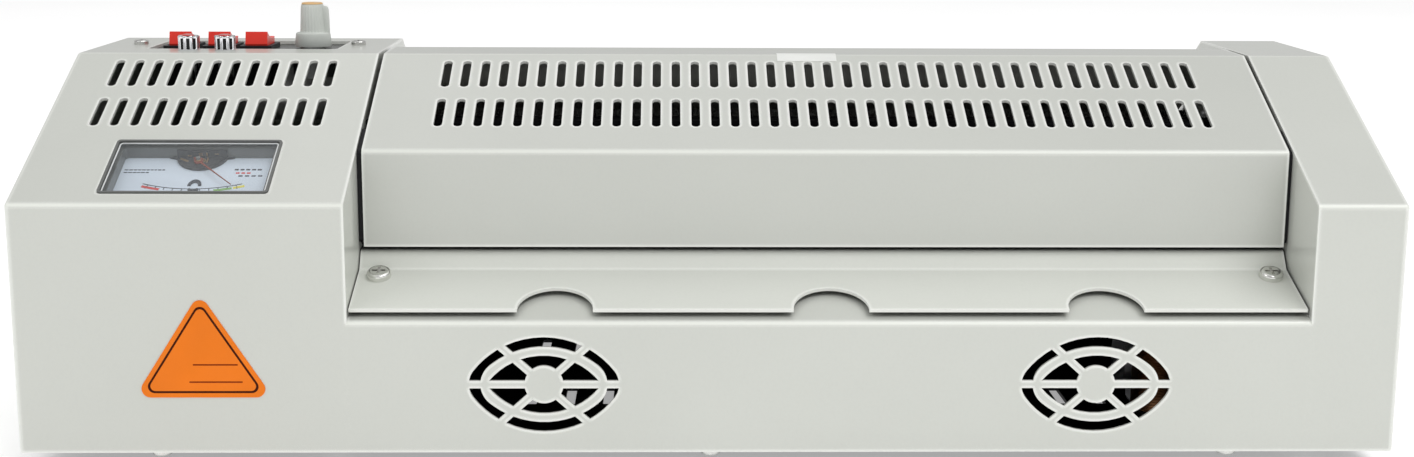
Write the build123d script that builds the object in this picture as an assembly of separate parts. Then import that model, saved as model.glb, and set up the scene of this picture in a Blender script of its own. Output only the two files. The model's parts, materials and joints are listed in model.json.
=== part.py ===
from build123d import *
from math import atan2, cos, hypot, pi, radians, sin, sqrt, tan
import os

# Sheet-metal pouch laminator, free standing on four rubber feet.
# Millimetres, +Z up, +X to the right of somebody feeding a pouch, -Y towards them.
# Depths are given back from the front wall and heights up from the casing's bottom edge.

# ---- overall size and frame ----
overall_width = 500.0
overall_depth = 240.0
foot_height = 8.0
label_thickness = 0.3
inlet_flange = 1.6
casing_depth = overall_depth - label_thickness - inlet_flange
front_y = -overall_depth / 2 + label_thickness

# ---- casing ----
sheet = 1.2
front_height = 91.2
slope_angle = 25.55
slope_run = 93.4
top_flat = 68.1
rear_height = 91.0
fold_radius = 2.0
side_radius = 1.4
left_cheek_width = 119.3
right_cheek_width = 33.0
front_lip_height = 48.5
rear_lip_height = 62.0
rear_lip_depth = 24.0
lip_screw_inset = 12.0
cross_screw_inset = 30.85
grille_centre = 39.6
return_width = 10.0
base_thickness = 1.5
base_gap = 0.3
half_width = overall_width / 2
left_edge = -half_width
left_cheek_edge = left_edge + left_cheek_width
right_cheek_edge = half_width - right_cheek_width
top_height = front_height + slope_run * tan(radians(slope_angle))
bay_centre = (left_cheek_edge + right_cheek_edge) / 2
bay_width = right_cheek_edge - left_cheek_edge

# ---- cover over the rollers ----
cover_gap_left = 2.0
cover_gap_right = 1.6
cover_front = 31.0
cover_front_bottom = 69.9
cover_top_end = 122.0
cover_rear_inset = 42.1
cover_rear_height = 99.0
cover_rear_bottom = 75.0
cover_screw_height = 89.0
cover_skirt = 8.0
cover_skirt_inset = 21.9
cover_rear = casing_depth - cover_rear_inset
cover_left = left_cheek_edge + cover_gap_left
cover_right = right_cheek_edge - cover_gap_right
cover_centre = (cover_left + cover_right) / 2

# ---- ventilation slots ----
slot_pitch = 7.5
slot_width = 3.3
slot_length = 19.2
slot_row_upper = 88.3
slot_row_lower = 60.4
cheek_slot_count = 12
cheek_slot_pitch = 7.56
cheek_slot_centre = left_edge + 60.6
cover_slot_pitch = 7.475
cover_slot_margin = 24.0
cover_slot_count = 1 + int((cover_right - cover_left - 2 * cover_slot_margin - slot_width) / cover_slot_pitch)

# ---- feed tray ----
tray_front = 2.2
tray_front_height = 52.7
tray_gap_left = 0.4
tray_gap_right = 0.8
tray_angle = 19.0
tray_ramp_start = 28.6
tray_ramp_end = 33.6
tray_ramp_height = 68.3
tray_rear_height = 68.9
tray_screw_up = 23.0
tray_screw_inset_left = 8.4
tray_screw_inset_right = 8.1
tray_roller_gap = 4.15
notch_radius = 13.7
notch_pitch = 99.7
notch_depth = 14.7
tray_left = left_cheek_edge + tray_gap_left
tray_right = right_cheek_edge - tray_gap_right

# ---- front grilles ----
grille_spacing = 200.0
grille_height = 25.4
grille_outer = (32.0, 17.6, 8.4)
grille_ring = (30.8, 14.0, 9.0)
grille_inner = (25.5, 10.8, 0.8)
grille_hub = 7.0
spoke_width = 2.8
spoke_angle = 42.0

# ---- rollers and their frames ----
nip_height = 70.0
hot_depth = 75.0
nip_gap = 0.3
module = 1.0
roller_teeth = 28
pair_teeth = 22
roller_pitch = roller_teeth * module
sleeve_radius = (roller_pitch - nip_gap) / 2
core_radius = 9.8
journal_radius = 5.0
shoulder_radius = 7.0
sleeve_inset = 8.85
shoulder_gap = 2.4
journal_overhang = 10.0
sleeve_length = bay_width - 2 * sleeve_inset
pull_depth = hot_depth + (roller_teeth + pair_teeth) * module
tray_rear = hot_depth - sleeve_radius - tray_roller_gap
running_fit = 0.05
gear_fit = 0.05
frame_sheet = 2.0
frame_front = 11.6
frame_front_height = 84.0
frame_slope_end = 56.0
frame_rear = pull_depth + 25.0
frame_top = 112.0
frame_flange = 12.0
frame_foot_front = 22.0
frame_foot_rear = frame_rear - 14.0
window_front = hot_depth - 19.0
window_rear = pull_depth + 19.0
window_bottom = 14.0
bush_radius = 8.0
bush_flange_radius = 10.0
bush_flange = 1.5
bush_length = 6.0
block_half = 9.0
block_fit = 0.1
block_shoulder = 11.0
block_outer = 6.9
spring_radius = 2.5
spring_wire = 1.0
spring_turns = 6
spring_peg = 1.5

# ---- gear train on the right-hand frame ----
gear_width = 8.0
gear_offset = 8.3
drive_teeth = 36
pinion_teeth = 16
stud_radius = 4.0
stud_collar = 6.0
stud_head = 6.5

# ---- gear motor ----
motor_depth = hot_depth - 44.0
motor_height = 25.0
gearbox_length = 20.0
gearbox_wide = 46.0
gearbox_tall = 42.0
gearbox_corner = 4.0
gearbox_screw_up = 15.0
gearbox_screw_front = 15.0
gearbox_screw_rear = 16.0
stator_length = 20.0
stator_front = 21.0
stator_rear = 23.0
stator_half = 20.0
leg_thickness = 7.0
leg_slot = 4.0
leg_slot_half = 12.0
rotor_behind = 7.0
rotor_bore = 9.0
coil_length = 36.0
coil_build = 6.0
coil_slack = 0.2
coil_half = 11.5
coil_corner = 5.0
bell_length = 12.5
bell_radius = 11.0
bell_reach = 8.0
bell_bar = 2.0
bell_bar_half = 17.0
bell_bar_depth = 10.0
output_radius = 4.0
output_depth = 10.0

# ---- heater shoes and guides ----
shoe_gap = 1.55
shoe_thickness = 3.0
shoe_half_angle = 55.0
boss_rise = 7.0
boss_wide = 14.0
boss_tall = 12.5
boss_corner = 2.0
window_over_shoe = 1.35
heater_radius = 4.0
heater_inset = 4.0
shoe_reach = roller_pitch / 2 + sleeve_radius + shoe_gap + boss_rise + boss_tall / 2
window_top = nip_height + shoe_reach + window_over_shoe
guide_gap = 1.0
guide_lift = 2.0
guide_half = 15.0
guide_leg = 8.0
guide_end = 6.0
rod_radius = 5.0
rod_clear = 0.5
rod_places = (((hot_depth + pull_depth) / 2, 22.0), (hot_depth - 25.0, 98.0), (pull_depth + 15.0, 103.0))
exit_start = pull_depth + 9.0
exit_drop = 2.0
exit_end_gap = 3.0
bar_foot_gap = 3.15
bar_foot_rise = 2.6
bar_lip_rise = 1.0
bar_depth = 13.9

# ---- fasteners ----
screw_radius = 2.0
screw_head_radius = 3.8
screw_head = 2.4
screw_length = 8.0
tray_head_radius = 4.4
tray_head = 2.6
panel_head_radius = 3.0
panel_head = 1.8
panel_shank = 1.5
hole_gap = 0.05

# ---- meter ----
meter_x = left_edge + 61.3
meter_up = 23.6
meter_wide = 60.9
meter_tall = 34.0
meter_fit = 0.2
meter_rim = 0.9
meter_rim_height = 0.6
meter_body_depth = 24.0
meter_body_inset = 1.0
meter_wall = 1.6
meter_flange = 4.0
meter_corner = 1.5
pane_low = -1.6
pane_high = -0.4
dial_low = -7.0
dial_high = -6.0
needle_low = -4.6
needle_high = -3.8
needle_hub = 2.4
needle_pin = 0.8
needle_foot = 3.0
needle_pivot_up = 10.0
needle_length = 21.0
needle_park = 44.0

# ---- control panel ----
panel_left = left_edge + 23.0
panel_right = left_edge + 99.5
panel_front = 111.0
panel_back = 147.0
panel_margin = 13.5
panel_thickness = 2.0
panel_screw_left = left_edge + 15.4
panel_screw_right = left_edge + 105.3
control_depth = 130.0
rocker_places = (left_edge + 33.2, left_edge + 49.2, left_edge + 64.4)
rocker_wide = 9.0
rocker_half = 7.3
rocker_rise = 5.2
rocker_saddle = 3.7
rocker_drop = 5.0
rocker_tilt = 12.0
rocker_pivot = 0.5
rocker_pin = 1.0
rocker_clear = 1.0
rocker_side_gap = 0.3
bezel_wide = 13.0
bezel_long = 20.0
bezel_height = 1.5
switch_depth = 15.0
lamp_places = (left_edge + 41.3, left_edge + 55.9)
lamp_depth = 104.5
lamp_radius = 4.25
lamp_stem = 3.25
lamp_height = 6.0
lens_radius = 2.9
lens_rise = 0.5
knob_x = left_edge + 86.6
knob_height = 17.6
knob_skirt = 7.5
knob_skirt_top = 6.9
knob_skirt_height = 5.2
knob_radius = 5.3
knob_top_radius = 4.6
knob_pointer = 7.0
knob_pointer_wide = 2.6
knob_lift = 0.6
knob_recess = 5.6
control_body = 8.5
control_nut = 5.2
control_bush = 3.5
knob_shaft_radius = 3.0
knob_shaft_height = 12.0

# ---- mains inlet on the rear wall ----
inlet_x = left_edge + 60.0
inlet_height = 36.0
inlet_wide = 27.0
inlet_tall = 19.8
inlet_body = 22.0
inlet_rim = 2.2
rear_vent_count = 8
rear_vent_low = 60.0
rear_vent_high = 76.0

# ---- circuit board, feet and label ----
board_left = left_edge + 14.0
board_wide = 86.0
board_front = 62.0
board_deep = 90.0
board_height = 14.0
board_thickness = 1.6
board_post_inset = 4.5
board_post_radius = 3.0
board_spigot = 1.5
foot_inset = 14.0
foot_front = 42.0
foot_rear_inset = 38.1
label_x = left_edge + 67.35
label_half = 24.8
label_low = 20.75
label_high = 59.3
label_corner = 3.2


def place_y(depth):
    """Row Y of a depth behind the front wall."""
    return depth + front_y


def place_z(height):
    """Row Z of a height above the casing's bottom edge."""
    return height + foot_height


def prism(points, x0, x1):
    """Solid of a front-to-back outline of (depth, height) points, from x0 to x1."""
    placed = [(place_y(depth), place_z(height)) for depth, height in points]
    face = make_face(Polyline(*placed, close=True))
    return extrude(Plane.YZ.offset(x0) * face, x1 - x0)


def block(x0, x1, d0, d1, h0, h1):
    """Box between two corners, in X, depth and height."""
    size = (x1 - x0, d1 - d0, h1 - h0)
    centre = ((x0 + x1) / 2, place_y((d0 + d1) / 2), place_z((h0 + h1) / 2))
    return Pos(*centre) * Box(*size)


def rod_x(radius, x0, x1, depth, height):
    """Round bar along X."""
    centre = ((x0 + x1) / 2, place_y(depth), place_z(height))
    return Pos(*centre) * Rot(0, 90, 0) * Cylinder(radius, x1 - x0)


def rod_z(radius, x, depth, h0, h1):
    """Round bar standing up."""
    return Pos(x, place_y(depth), place_z((h0 + h1) / 2)) * Cylinder(radius, h1 - h0)


def rod_y(radius, x, height, d0, d1):
    """Round bar lying front to back."""
    centre = (x, place_y((d0 + d1) / 2), place_z(height))
    return Pos(*centre) * Rot(90, 0, 0) * Cylinder(radius, d1 - d0)


def shifted_path(points, gap):
    """Open path moved sideways by gap to the right of its direction of travel."""
    legs = []
    for (y0, z0), (y1, z1) in zip(points, points[1:]):
        length = hypot(y1 - y0, z1 - z0)
        ny, nz = (z1 - z0) / length, -(y1 - y0) / length
        legs.append(((y0 + ny * gap, z0 + nz * gap), (y1 + ny * gap, z1 + nz * gap)))
    moved = [legs[0][0]]
    for ((ay, az), (by, bz)), ((cy, cz), (dy, dz)) in zip(legs, legs[1:]):
        cross = (by - ay) * (dz - cz) - (bz - az) * (dy - cy)
        step = ((cy - ay) * (dz - cz) - (cz - az) * (dy - cy)) / cross
        moved.append((ay + (by - ay) * step, az + (bz - az) * step))
    moved.append(legs[-1][1])
    return moved


def round_folds(solid, corners, radius):
    """Round the X-wise edges that pass through the given (depth, height) corners."""
    picked = []
    for edge in solid.edges().filter_by(Axis.X):
        middle = edge.center()
        for depth, height in corners:
            if hypot(middle.Y - place_y(depth), middle.Z - place_z(height)) < 0.01:
                picked.append(edge)
    return fillet(picked, radius) if picked else solid


def folded_sheet(points, thickness, x0, x1, bend=0.8):
    """Sheet folded along a path; its thickness lies to the right of the path."""
    inner = shifted_path(points, thickness)
    solid = prism(points + inner[::-1], x0, x1)
    for outer_point, inner_point, before, after in zip(points[1:-1], inner[1:-1], points, points[2:]):
        turn = (outer_point[0] - before[0]) * (after[1] - outer_point[1])
        turn -= (outer_point[1] - before[1]) * (after[0] - outer_point[0])
        solid = round_folds(solid, [outer_point], bend if turn > 0 else bend + thickness)
        solid = round_folds(solid, [inner_point], bend + thickness if turn > 0 else bend)
    return solid


def slope_plane():
    """Plane on the casing's slope: x across, y up the slope, z out of it."""
    angle = radians(slope_angle)
    origin = (0, place_y(0), place_z(front_height))
    return Plane(origin=origin, x_dir=(1, 0, 0), z_dir=(0, -sin(angle), cos(angle)))


def tray_plane():
    """Plane on the feed tray's top face, from its front edge."""
    angle = radians(tray_angle)
    origin = (0, place_y(tray_front), place_z(tray_front_height))
    return Plane(origin=origin, x_dir=(1, 0, 0), z_dir=(0, -sin(angle), cos(angle)))


def plane_prism(plane, sketch, z0, z1):
    """Sketch raised between two heights above a plane."""
    return extrude(plane.offset(z0) * sketch, z1 - z0)


def vent_sketch(count, centre, pitch):
    """Two rows of upright round-ended slots, laid out in the slope's plane."""
    sketch = Sketch()
    first = centre - (count - 1) / 2 * pitch
    for row in (slot_row_upper, slot_row_lower):
        for index in range(count):
            sketch += Pos(first + index * pitch, row) * SlotOverall(slot_length, slot_width, rotation=90)
    return sketch


# ---- outlines ----

def casing_outline():
    """Side view of the closed casing, bottom front corner first."""
    return [
        (0, 0),
        (0, front_height),
        (slope_run, top_height),
        (slope_run + top_flat, top_height),
        (casing_depth, rear_height),
        (casing_depth, 0),
    ]


def lip_path():
    """Front wall below the tray and the fold that slopes back under it."""
    depth = tray_ramp_start
    rise = depth * tan(radians(tray_angle))
    return [(0, 0), (0, front_lip_height), (depth, front_lip_height + rise)]


def tray_path():
    """Feed tray's top face, from its front edge to the hot rollers."""
    angle = radians(tray_angle)
    ramp_height = tray_front_height + (tray_ramp_start - tray_front) * tan(angle)
    return [
        (tray_front, tray_front_height),
        (tray_ramp_start, ramp_height),
        (tray_ramp_end, tray_ramp_height),
        (tray_rear, tray_rear_height),
    ]


def cover_path():
    """Cover's outer face, front bottom edge to rear bottom edge."""
    front_top = front_height + cover_front * tan(radians(slope_angle))
    return [
        (cover_front, cover_front_bottom),
        (cover_front, front_top),
        (slope_run, top_height),
        (cover_top_end, top_height),
        (cover_rear, cover_rear_height),
        (cover_rear, cover_rear_bottom),
    ]


def tray_screw_xs():
    """Left and right tray screws."""
    return (left_cheek_edge + tray_screw_inset_left, right_cheek_edge - tray_screw_inset_right)


def cross_xs():
    """Three screws spread across the bay."""
    reach = bay_width / 2 - cross_screw_inset
    return (bay_centre - reach, bay_centre, bay_centre + reach)


def base_screw_places():
    """Screws that hold the base plate to the casing's bottom return."""
    edge = half_width - sheet - return_width / 2
    places = [(side * edge, depth) for side in (-1, 1) for depth in (75.0, 165.0)]
    front = sheet + return_width / 2
    xs = (left_edge + 50.0, 0.0, half_width - 60.0)
    return places + [(x, depth) for x in xs for depth in (front, casing_depth - front)]


def frame_screw_places():
    """Screws that hold the roller frames' feet to the base plate."""
    offset = sheet + (frame_sheet + frame_flange) / 2
    left = left_cheek_edge - offset
    right = right_cheek_edge + offset
    return [(x, depth) for x in (left, right) for depth in (frame_foot_front, frame_foot_rear)]


def foot_places():
    """Four feet."""
    x = half_width - foot_inset
    return [(side * x, depth) for side in (-1, 1) for depth in (foot_front, casing_depth - foot_rear_inset)]


def gearbox_screw_places():
    """Screws through the right-hand frame into the gearbox."""
    front, rear = motor_depth - gearbox_screw_front, motor_depth + gearbox_screw_rear
    low, high = motor_height - gearbox_screw_up, motor_height + gearbox_screw_up
    return [(front, low), (front, high), (rear, low), (rear, high)]


# ---- casing and base ----

def lens(radius, half_height, tip):
    """Almond outline of two arcs with rounded tips."""
    drop = radius - half_height
    upper = Pos(0, -drop) * Circle(radius)
    lower = Pos(0, drop) * Circle(radius)
    shape = upper & lower
    tips = shape.vertices().sort_by(Axis.X)
    return fillet([tips[0], tips[-1]], tip)


def grille_sketch():
    """Openings of one oval grille: two rings of gaps between six spokes."""
    openings = lens(*grille_outer) - lens(*grille_ring)
    openings += lens(*grille_inner) - Circle(grille_hub)
    spokes = Rectangle(80, spoke_width)
    for angle in (spoke_angle, -spoke_angle):
        spokes += Rot(0, 0, angle) * Rectangle(80, spoke_width)
    return openings - spokes


def grille_cutters():
    """Both grilles' openings through the front wall."""
    cutters = Part()
    for side in (-1, 1):
        x = grille_centre + side * grille_spacing / 2
        centre = Plane(origin=(x, place_y(0), place_z(grille_height)), x_dir=(1, 0, 0), z_dir=(0, -1, 0))
        cutters += plane_prism(centre, grille_sketch(), -4, 1)
    return cutters


def cheek_wall(x0, x1):
    """Casing wall beside the bay, with a window for shafts and shoes."""
    outline = casing_outline()
    outline[0] = (0, base_thickness)
    outline[-1] = (casing_depth, base_thickness)
    wall = round_folds(prism(outline, x0, x1), casing_outline()[1:5], fold_radius)
    wall -= block(x0 - 1, x1 + 1, window_front, window_rear, window_bottom, window_top)
    for depth, height in rod_places:
        wall -= rod_x(rod_radius + rod_clear, x0 - 1, x1 + 1, depth, height)
    return wall


def casing_shell():
    """Outer box of front, slopes, top, rear and end walls, open below and in the bay."""
    outline = casing_outline()
    solid = round_folds(prism(outline, -half_width, half_width), outline[1:5], fold_radius)
    low = place_z(0)
    edges = []
    for edge in solid.edges():
        middle = edge.center()
        if abs(abs(middle.X) - half_width) < 0.01 and middle.Z > low + 1:
            edges.append(edge)
    solid = fillet(edges, side_radius)
    inner = shifted_path(outline, sheet)
    inner[0] = (sheet, -5)
    inner[-1] = (casing_depth - sheet, -5)
    solid -= prism(inner, -half_width + sheet, half_width - sheet)
    solid -= block(left_cheek_edge, right_cheek_edge, -5, casing_depth + 5, -5, top_height + 5)
    return solid


def bottom_return():
    """Flange turned inward all round just above the base plate."""
    x, d0, d1 = half_width - sheet, sheet, casing_depth - sheet
    h0, h1 = base_thickness, base_thickness + sheet
    ring = block(-x, x, d0, d1, h0, h1)
    inside = return_width
    return ring - block(-x + inside, x - inside, d0 + inside, d1 - inside, h0 - 1, h1 + 1)


def tray_bosses():
    """Raised seats on the front lip that carry the tray at its two screws."""
    bosses = Part()
    lift = tray_seat_gap()
    for x in tray_screw_xs():
        disc = Pos(x, tray_screw_up) * Circle(6.0)
        bosses += plane_prism(tray_plane(), disc, -sheet - lift, -sheet)
    return bosses


def tray_seat_gap():
    """Clear height between the lip's face and the tray's underside."""
    angle = radians(tray_angle)
    tray_at_wall = tray_front_height - tray_front * tan(angle)
    return (tray_at_wall - front_lip_height) * cos(angle) - sheet


def casing_cutters():
    """Openings in the left cheek's slope and top, and in the rear wall."""
    vents = vent_sketch(cheek_slot_count, cheek_slot_centre, cheek_slot_pitch)
    cutters = plane_prism(slope_plane(), vents, -3, 3)
    window = Pos(meter_x, meter_up) * RectangleRounded(meter_wide, meter_tall, meter_corner)
    cutters += plane_prism(slope_plane(), window, -3, 3)
    h0, h1 = top_height - 3, top_height + 3
    opening = block(panel_left, panel_right, panel_front, panel_back, h0, h1)
    cutters += fillet(opening.edges().filter_by(Axis.Z), 2.0)
    for x in (panel_screw_left, panel_screw_right):
        cutters += rod_z(panel_shank + hole_gap, x, control_depth, h0, h1)
    for x in lamp_places:
        cutters += rod_z(lamp_stem + hole_gap, x, lamp_depth, h0, h1)
    rear = casing_depth
    z0, z1 = inlet_height - inlet_tall / 2, inlet_height + inlet_tall / 2
    cutters += block(inlet_x - inlet_wide / 2, inlet_x + inlet_wide / 2, rear - 4, rear + 4, z0, z1)
    for index in range(rear_vent_count):
        x = inlet_x + (index - (rear_vent_count - 1) / 2) * slot_pitch
        h0, h1 = rear_vent_low, rear_vent_high
        cutters += block(x - slot_width / 2, x + slot_width / 2, rear - 4, rear + 4, h0, h1)
    return cutters


def casing():
    """Painted sheet casing: both cheeks, the front and rear walls between them and their lips."""
    wall_l = left_cheek_edge - sheet
    wall_r = right_cheek_edge + sheet
    solid = casing_shell()
    solid += cheek_wall(wall_l, left_cheek_edge)
    solid += cheek_wall(right_cheek_edge, wall_r)
    solid += folded_sheet(lip_path(), sheet, wall_l, wall_r)
    d1 = casing_depth
    rear = [(d1 - rear_lip_depth, rear_lip_height), (d1, rear_lip_height), (d1, 0)]
    solid += folded_sheet(rear, sheet, wall_l, wall_r)
    solid += bottom_return()
    solid += tray_bosses()
    solid -= casing_cutters()
    solid -= grille_cutters()
    for x in tray_screw_xs():
        hole = Pos(x, tray_screw_up) * Circle(screw_radius + hole_gap)
        solid -= plane_prism(tray_plane(), hole, -12, 2)
    for x, depth in base_screw_places():
        solid -= rod_z(screw_radius + hole_gap, x, depth, 0, 5)
    for x in cross_xs():
        depth = casing_depth - lip_screw_inset
        solid -= rod_z(screw_radius + hole_gap, x, depth, rear_lip_height - 7, rear_lip_height + 4)
    for depth, height in gearbox_screw_places():
        solid -= rod_x(screw_radius + hole_gap, right_cheek_edge - 1, wall_r + 1, depth, height)
    solid -= rod_x(output_radius + 2, right_cheek_edge - 1, wall_r + 1, motor_depth, motor_height)
    return solid


def base_plate():
    """Flat bottom plate with ventilation slots under the rollers."""
    edge = sheet + base_gap
    plate = block(-half_width + edge, half_width - edge, edge, casing_depth - edge, 0, base_thickness)
    for x, depth in base_screw_places() + frame_screw_places() + foot_places():
        plate -= rod_z(screw_radius + hole_gap, x, depth, -1, 4)
    for depth in (hot_depth - 5.0, pull_depth + 25.0):
        for index in range(16):
            x = bay_centre + (index - 7.5) * 2 * slot_pitch
            plate -= block(x - 2, x + 2, depth - 12, depth + 12, -1, 4)
    return plate


def feet():
    """Four tapered rubber feet, each recessed for its screw."""
    group = []
    for x, depth in foot_places():
        foot = Pos(x, place_y(depth), foot_height / 2) * Cone(9.0, 10.0, foot_height)
        foot -= rod_z(screw_radius + hole_gap, x, depth, -20, 20)
        foot -= rod_z(screw_head_radius + 1.0, x, depth, -20, -foot_height + 4.5)
        group.append(foot)
    return group


# ---- fasteners ----

def screw_at(place, radius, head, length, head_radius, recess):
    """Pan-head cross-recess screw; the head sits on the placed plane's +Z side."""
    screw = Pos(0, 0, -length / 2) * Cylinder(radius, length)
    cap = Pos(0, 0, head / 2) * Cylinder(head_radius, head)
    rim = cap.edges().sort_by(Axis.Z)[-1]
    screw += fillet(rim, head * 0.45)
    for angle in (0, 90):
        screw -= Pos(0, 0, head) * Rot(0, 0, angle) * Box(head_radius * 1.1, recess, head)
    return place * screw


def pan_screws():
    """Every small pan-head screw: base, feet, frames, tie rods, gearbox, exit guide and cover."""
    parts = []

    def add(place):
        parts.append(screw_at(place, screw_radius, screw_head, screw_length, screw_head_radius, 1.0))

    down = Rot(180, 0, 0)
    for x, depth in base_screw_places() + frame_screw_places():
        add(Pos(x, place_y(depth), place_z(0)) * down)
    for x, depth in foot_places():
        add(Pos(x, place_y(depth), 4.5) * down)
    outer_l = left_cheek_edge - sheet - frame_sheet
    outer_r = right_cheek_edge + sheet + frame_sheet
    for depth, height in rod_places:
        add(Pos(outer_l, place_y(depth), place_z(height)) * Rot(0, -90, 0))
        add(Pos(outer_r, place_y(depth), place_z(height)) * Rot(0, 90, 0))
    for depth, height in gearbox_screw_places():
        add(Pos(outer_r, place_y(depth), place_z(height)) * Rot(0, 90, 0))
    for x in cross_xs():
        add(Pos(x, place_y(casing_depth - lip_screw_inset), place_z(rear_lip_height + sheet)))
        add(Pos(x, place_y(cover_rear), place_z(cover_screw_height)) * Rot(-90, 0, 0))
    return parts


def tray_screws():
    """Two larger cross-recess screws on the feed tray."""
    parts = []
    for x in tray_screw_xs():
        place = tray_plane().location * Pos(x, tray_screw_up, 0)
        parts.append(screw_at(place, screw_radius, tray_head, screw_length, tray_head_radius, 1.1))
    return parts


def panel_screws():
    """Two small screws beside the control cut-out."""
    parts = []
    for x in (panel_screw_left, panel_screw_right):
        place = Pos(x, place_y(control_depth), place_z(top_height))
        parts.append(screw_at(place, panel_shank, panel_head, 6.0, panel_head_radius, 0.8))
    return parts


# ---- cover, tray and guides ----

def cover():
    """Folded cover between the cheeks, slotted over the rollers."""
    x0, x1 = cover_left, cover_right
    solid = folded_sheet(cover_path(), sheet, x0, x1)
    sink = sheet / 3
    slope = tan(radians(slope_angle))
    fall = (top_height - cover_rear_height) / (cover_rear - cover_top_end)
    start, end = cover_front + cover_skirt_inset, cover_rear - cover_skirt_inset
    front_top = (start, front_height + start * slope - sink)
    rear_top = (end, top_height - (end - cover_top_end) * fall - sink)
    top = [front_top] + [(d, h - sink) for d, h in cover_path()[2:4]] + [rear_top]
    low = [(d, h - cover_skirt) for d, h in top]
    solid += prism(top + low[::-1], x0, x0 + sheet)
    solid += prism(top + low[::-1], x1 - sheet, x1)
    vents = vent_sketch(cover_slot_count, cover_centre, cover_slot_pitch)
    solid -= plane_prism(slope_plane(), vents, -3, 3)
    for x in cross_xs():
        solid -= rod_y(screw_radius + hole_gap, x, cover_screw_height, cover_rear - 4, cover_rear + 4)
    return solid


def feed_tray():
    """Sloping feed tray with three thumb notches and a ramp up to the feed slot."""
    solid = folded_sheet(tray_path(), sheet, tray_left, tray_right, 1.2)
    for index in (-1, 0, 1):
        x = cover_centre + index * notch_pitch
        notch = Pos(x, notch_depth - notch_radius) * Circle(notch_radius)
        solid -= plane_prism(tray_plane(), notch, -4, 4)
    for x in tray_screw_xs():
        hole = Pos(x, tray_screw_up) * Circle(screw_radius + hole_gap)
        solid -= plane_prism(tray_plane(), hole, -4, 4)
    return solid


def exit_guide():
    """Shelf that carries the laminated pouch out at the rear."""
    level = nip_height - exit_drop
    foot = rear_lip_height + sheet
    drop = level - foot
    end = casing_depth - exit_end_gap
    bend = casing_depth - rear_lip_depth
    path = [(exit_start, level), (bend - drop * 2, level), (bend, foot), (end, foot)]
    solid = folded_sheet(path, sheet, cover_left, cover_right)
    for x in cross_xs():
        solid -= rod_z(screw_radius + hole_gap, x, casing_depth - lip_screw_inset, foot - 5, foot + 5)
    return solid


def front_bar():
    """Cross bar behind the cover's front face; its foot is the upper entry guide."""
    slope = tan(radians(slope_angle))
    inner = shifted_path(cover_path(), sheet)
    corner = inner[1]
    end = (corner[0] + bar_depth, corner[1] + bar_depth * slope)
    foot = (hot_depth - sleeve_radius - bar_foot_gap, nip_height + bar_foot_rise)
    path = [foot, (corner[0], nip_height + bar_lip_rise), corner, end]
    return folded_sheet(path, sheet, left_cheek_edge, right_cheek_edge)


def rear_bar():
    """Angle behind the cover's rear face that takes the cover's screws."""
    x0, x1 = left_cheek_edge, right_cheek_edge
    face = cover_rear - sheet
    high, low = cover_screw_height + 6.0, cover_screw_height - 8.0
    solid = folded_sheet([(face - 12.0, high), (face, high), (face, low)], 1.5, x0, x1)
    for x in cross_xs():
        solid -= rod_y(screw_radius + hole_gap, x, cover_screw_height, face - 4, face + 4)
    return solid


def guide_plates():
    """Lower and upper channel guides between the two pairs of rollers."""
    x0, x1 = left_cheek_edge - sheet, right_cheek_edge + sheet
    middle = (hot_depth + pull_depth) / 2
    d0, d1 = middle - guide_half, middle + guide_half
    low = nip_height - guide_gap
    high = nip_height + guide_lift
    near, far = d0 + guide_end, d1 - guide_end
    lower = folded_sheet([(d0, low), (far, low), (far, low - guide_leg)], sheet, x0, x1)
    upper = folded_sheet([(d1, high), (near, high), (near, high + guide_leg)], sheet, x0, x1)
    return [lower, upper]


# ---- roller frames ----

def frame_plate(wall_x, out):
    """Roller frame beside one cheek wall; out is the direction of its flanges."""
    x0, x1 = sorted((wall_x, wall_x + out * frame_sheet))
    outline = [
        (frame_front, base_thickness),
        (frame_front, frame_front_height),
        (frame_slope_end, frame_top),
        (frame_rear, frame_top),
        (frame_rear, base_thickness),
    ]
    plate = prism(outline, x0, x1)
    for depth in (hot_depth, pull_depth):
        lower = nip_height - roller_pitch / 2
        upper = nip_height + roller_pitch / 2
        plate -= rod_x(bush_radius + hole_gap, x0 - 1, x1 + 1, depth, lower)
        half = block_half + block_fit
        slot_low, slot_high = upper - block_half, frame_top - frame_sheet
        plate -= block(x0 - 1, x1 + 1, depth - half, depth + half, slot_low, slot_high)
    far = wall_x + out * frame_flange
    f0, f1 = sorted((wall_x, far))
    plate += block(f0, f1, frame_slope_end + 2, frame_rear, frame_top - frame_sheet, frame_top)
    plate += block(f0, f1, frame_front, frame_rear, base_thickness, base_thickness + frame_sheet)
    for depth, height in rod_places:
        plate -= rod_x(screw_radius + hole_gap, x0 - 1, x1 + 1, depth, height)
    for x, depth in frame_screw_places():
        plate -= rod_z(screw_radius + hole_gap, x, depth, -1, 6)
    return plate


def frame_left():
    """Left-hand roller frame."""
    return frame_plate(left_cheek_edge - sheet, -1)


def frame_right():
    """Right-hand roller frame, also drilled for the gear studs and the gearbox."""
    wall = right_cheek_edge + sheet
    plate = frame_plate(wall, 1)
    for depth, height in stud_places():
        plate -= rod_x(stud_radius, wall - 1, wall + frame_sheet + 1, depth, height)
    for depth, height in gearbox_screw_places():
        plate -= rod_x(screw_radius + hole_gap, wall - 1, wall + frame_sheet + 1, depth, height)
    plate -= rod_x(output_radius + 2, wall - 1, wall + frame_sheet + 1, motor_depth, motor_height)
    return plate


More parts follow.
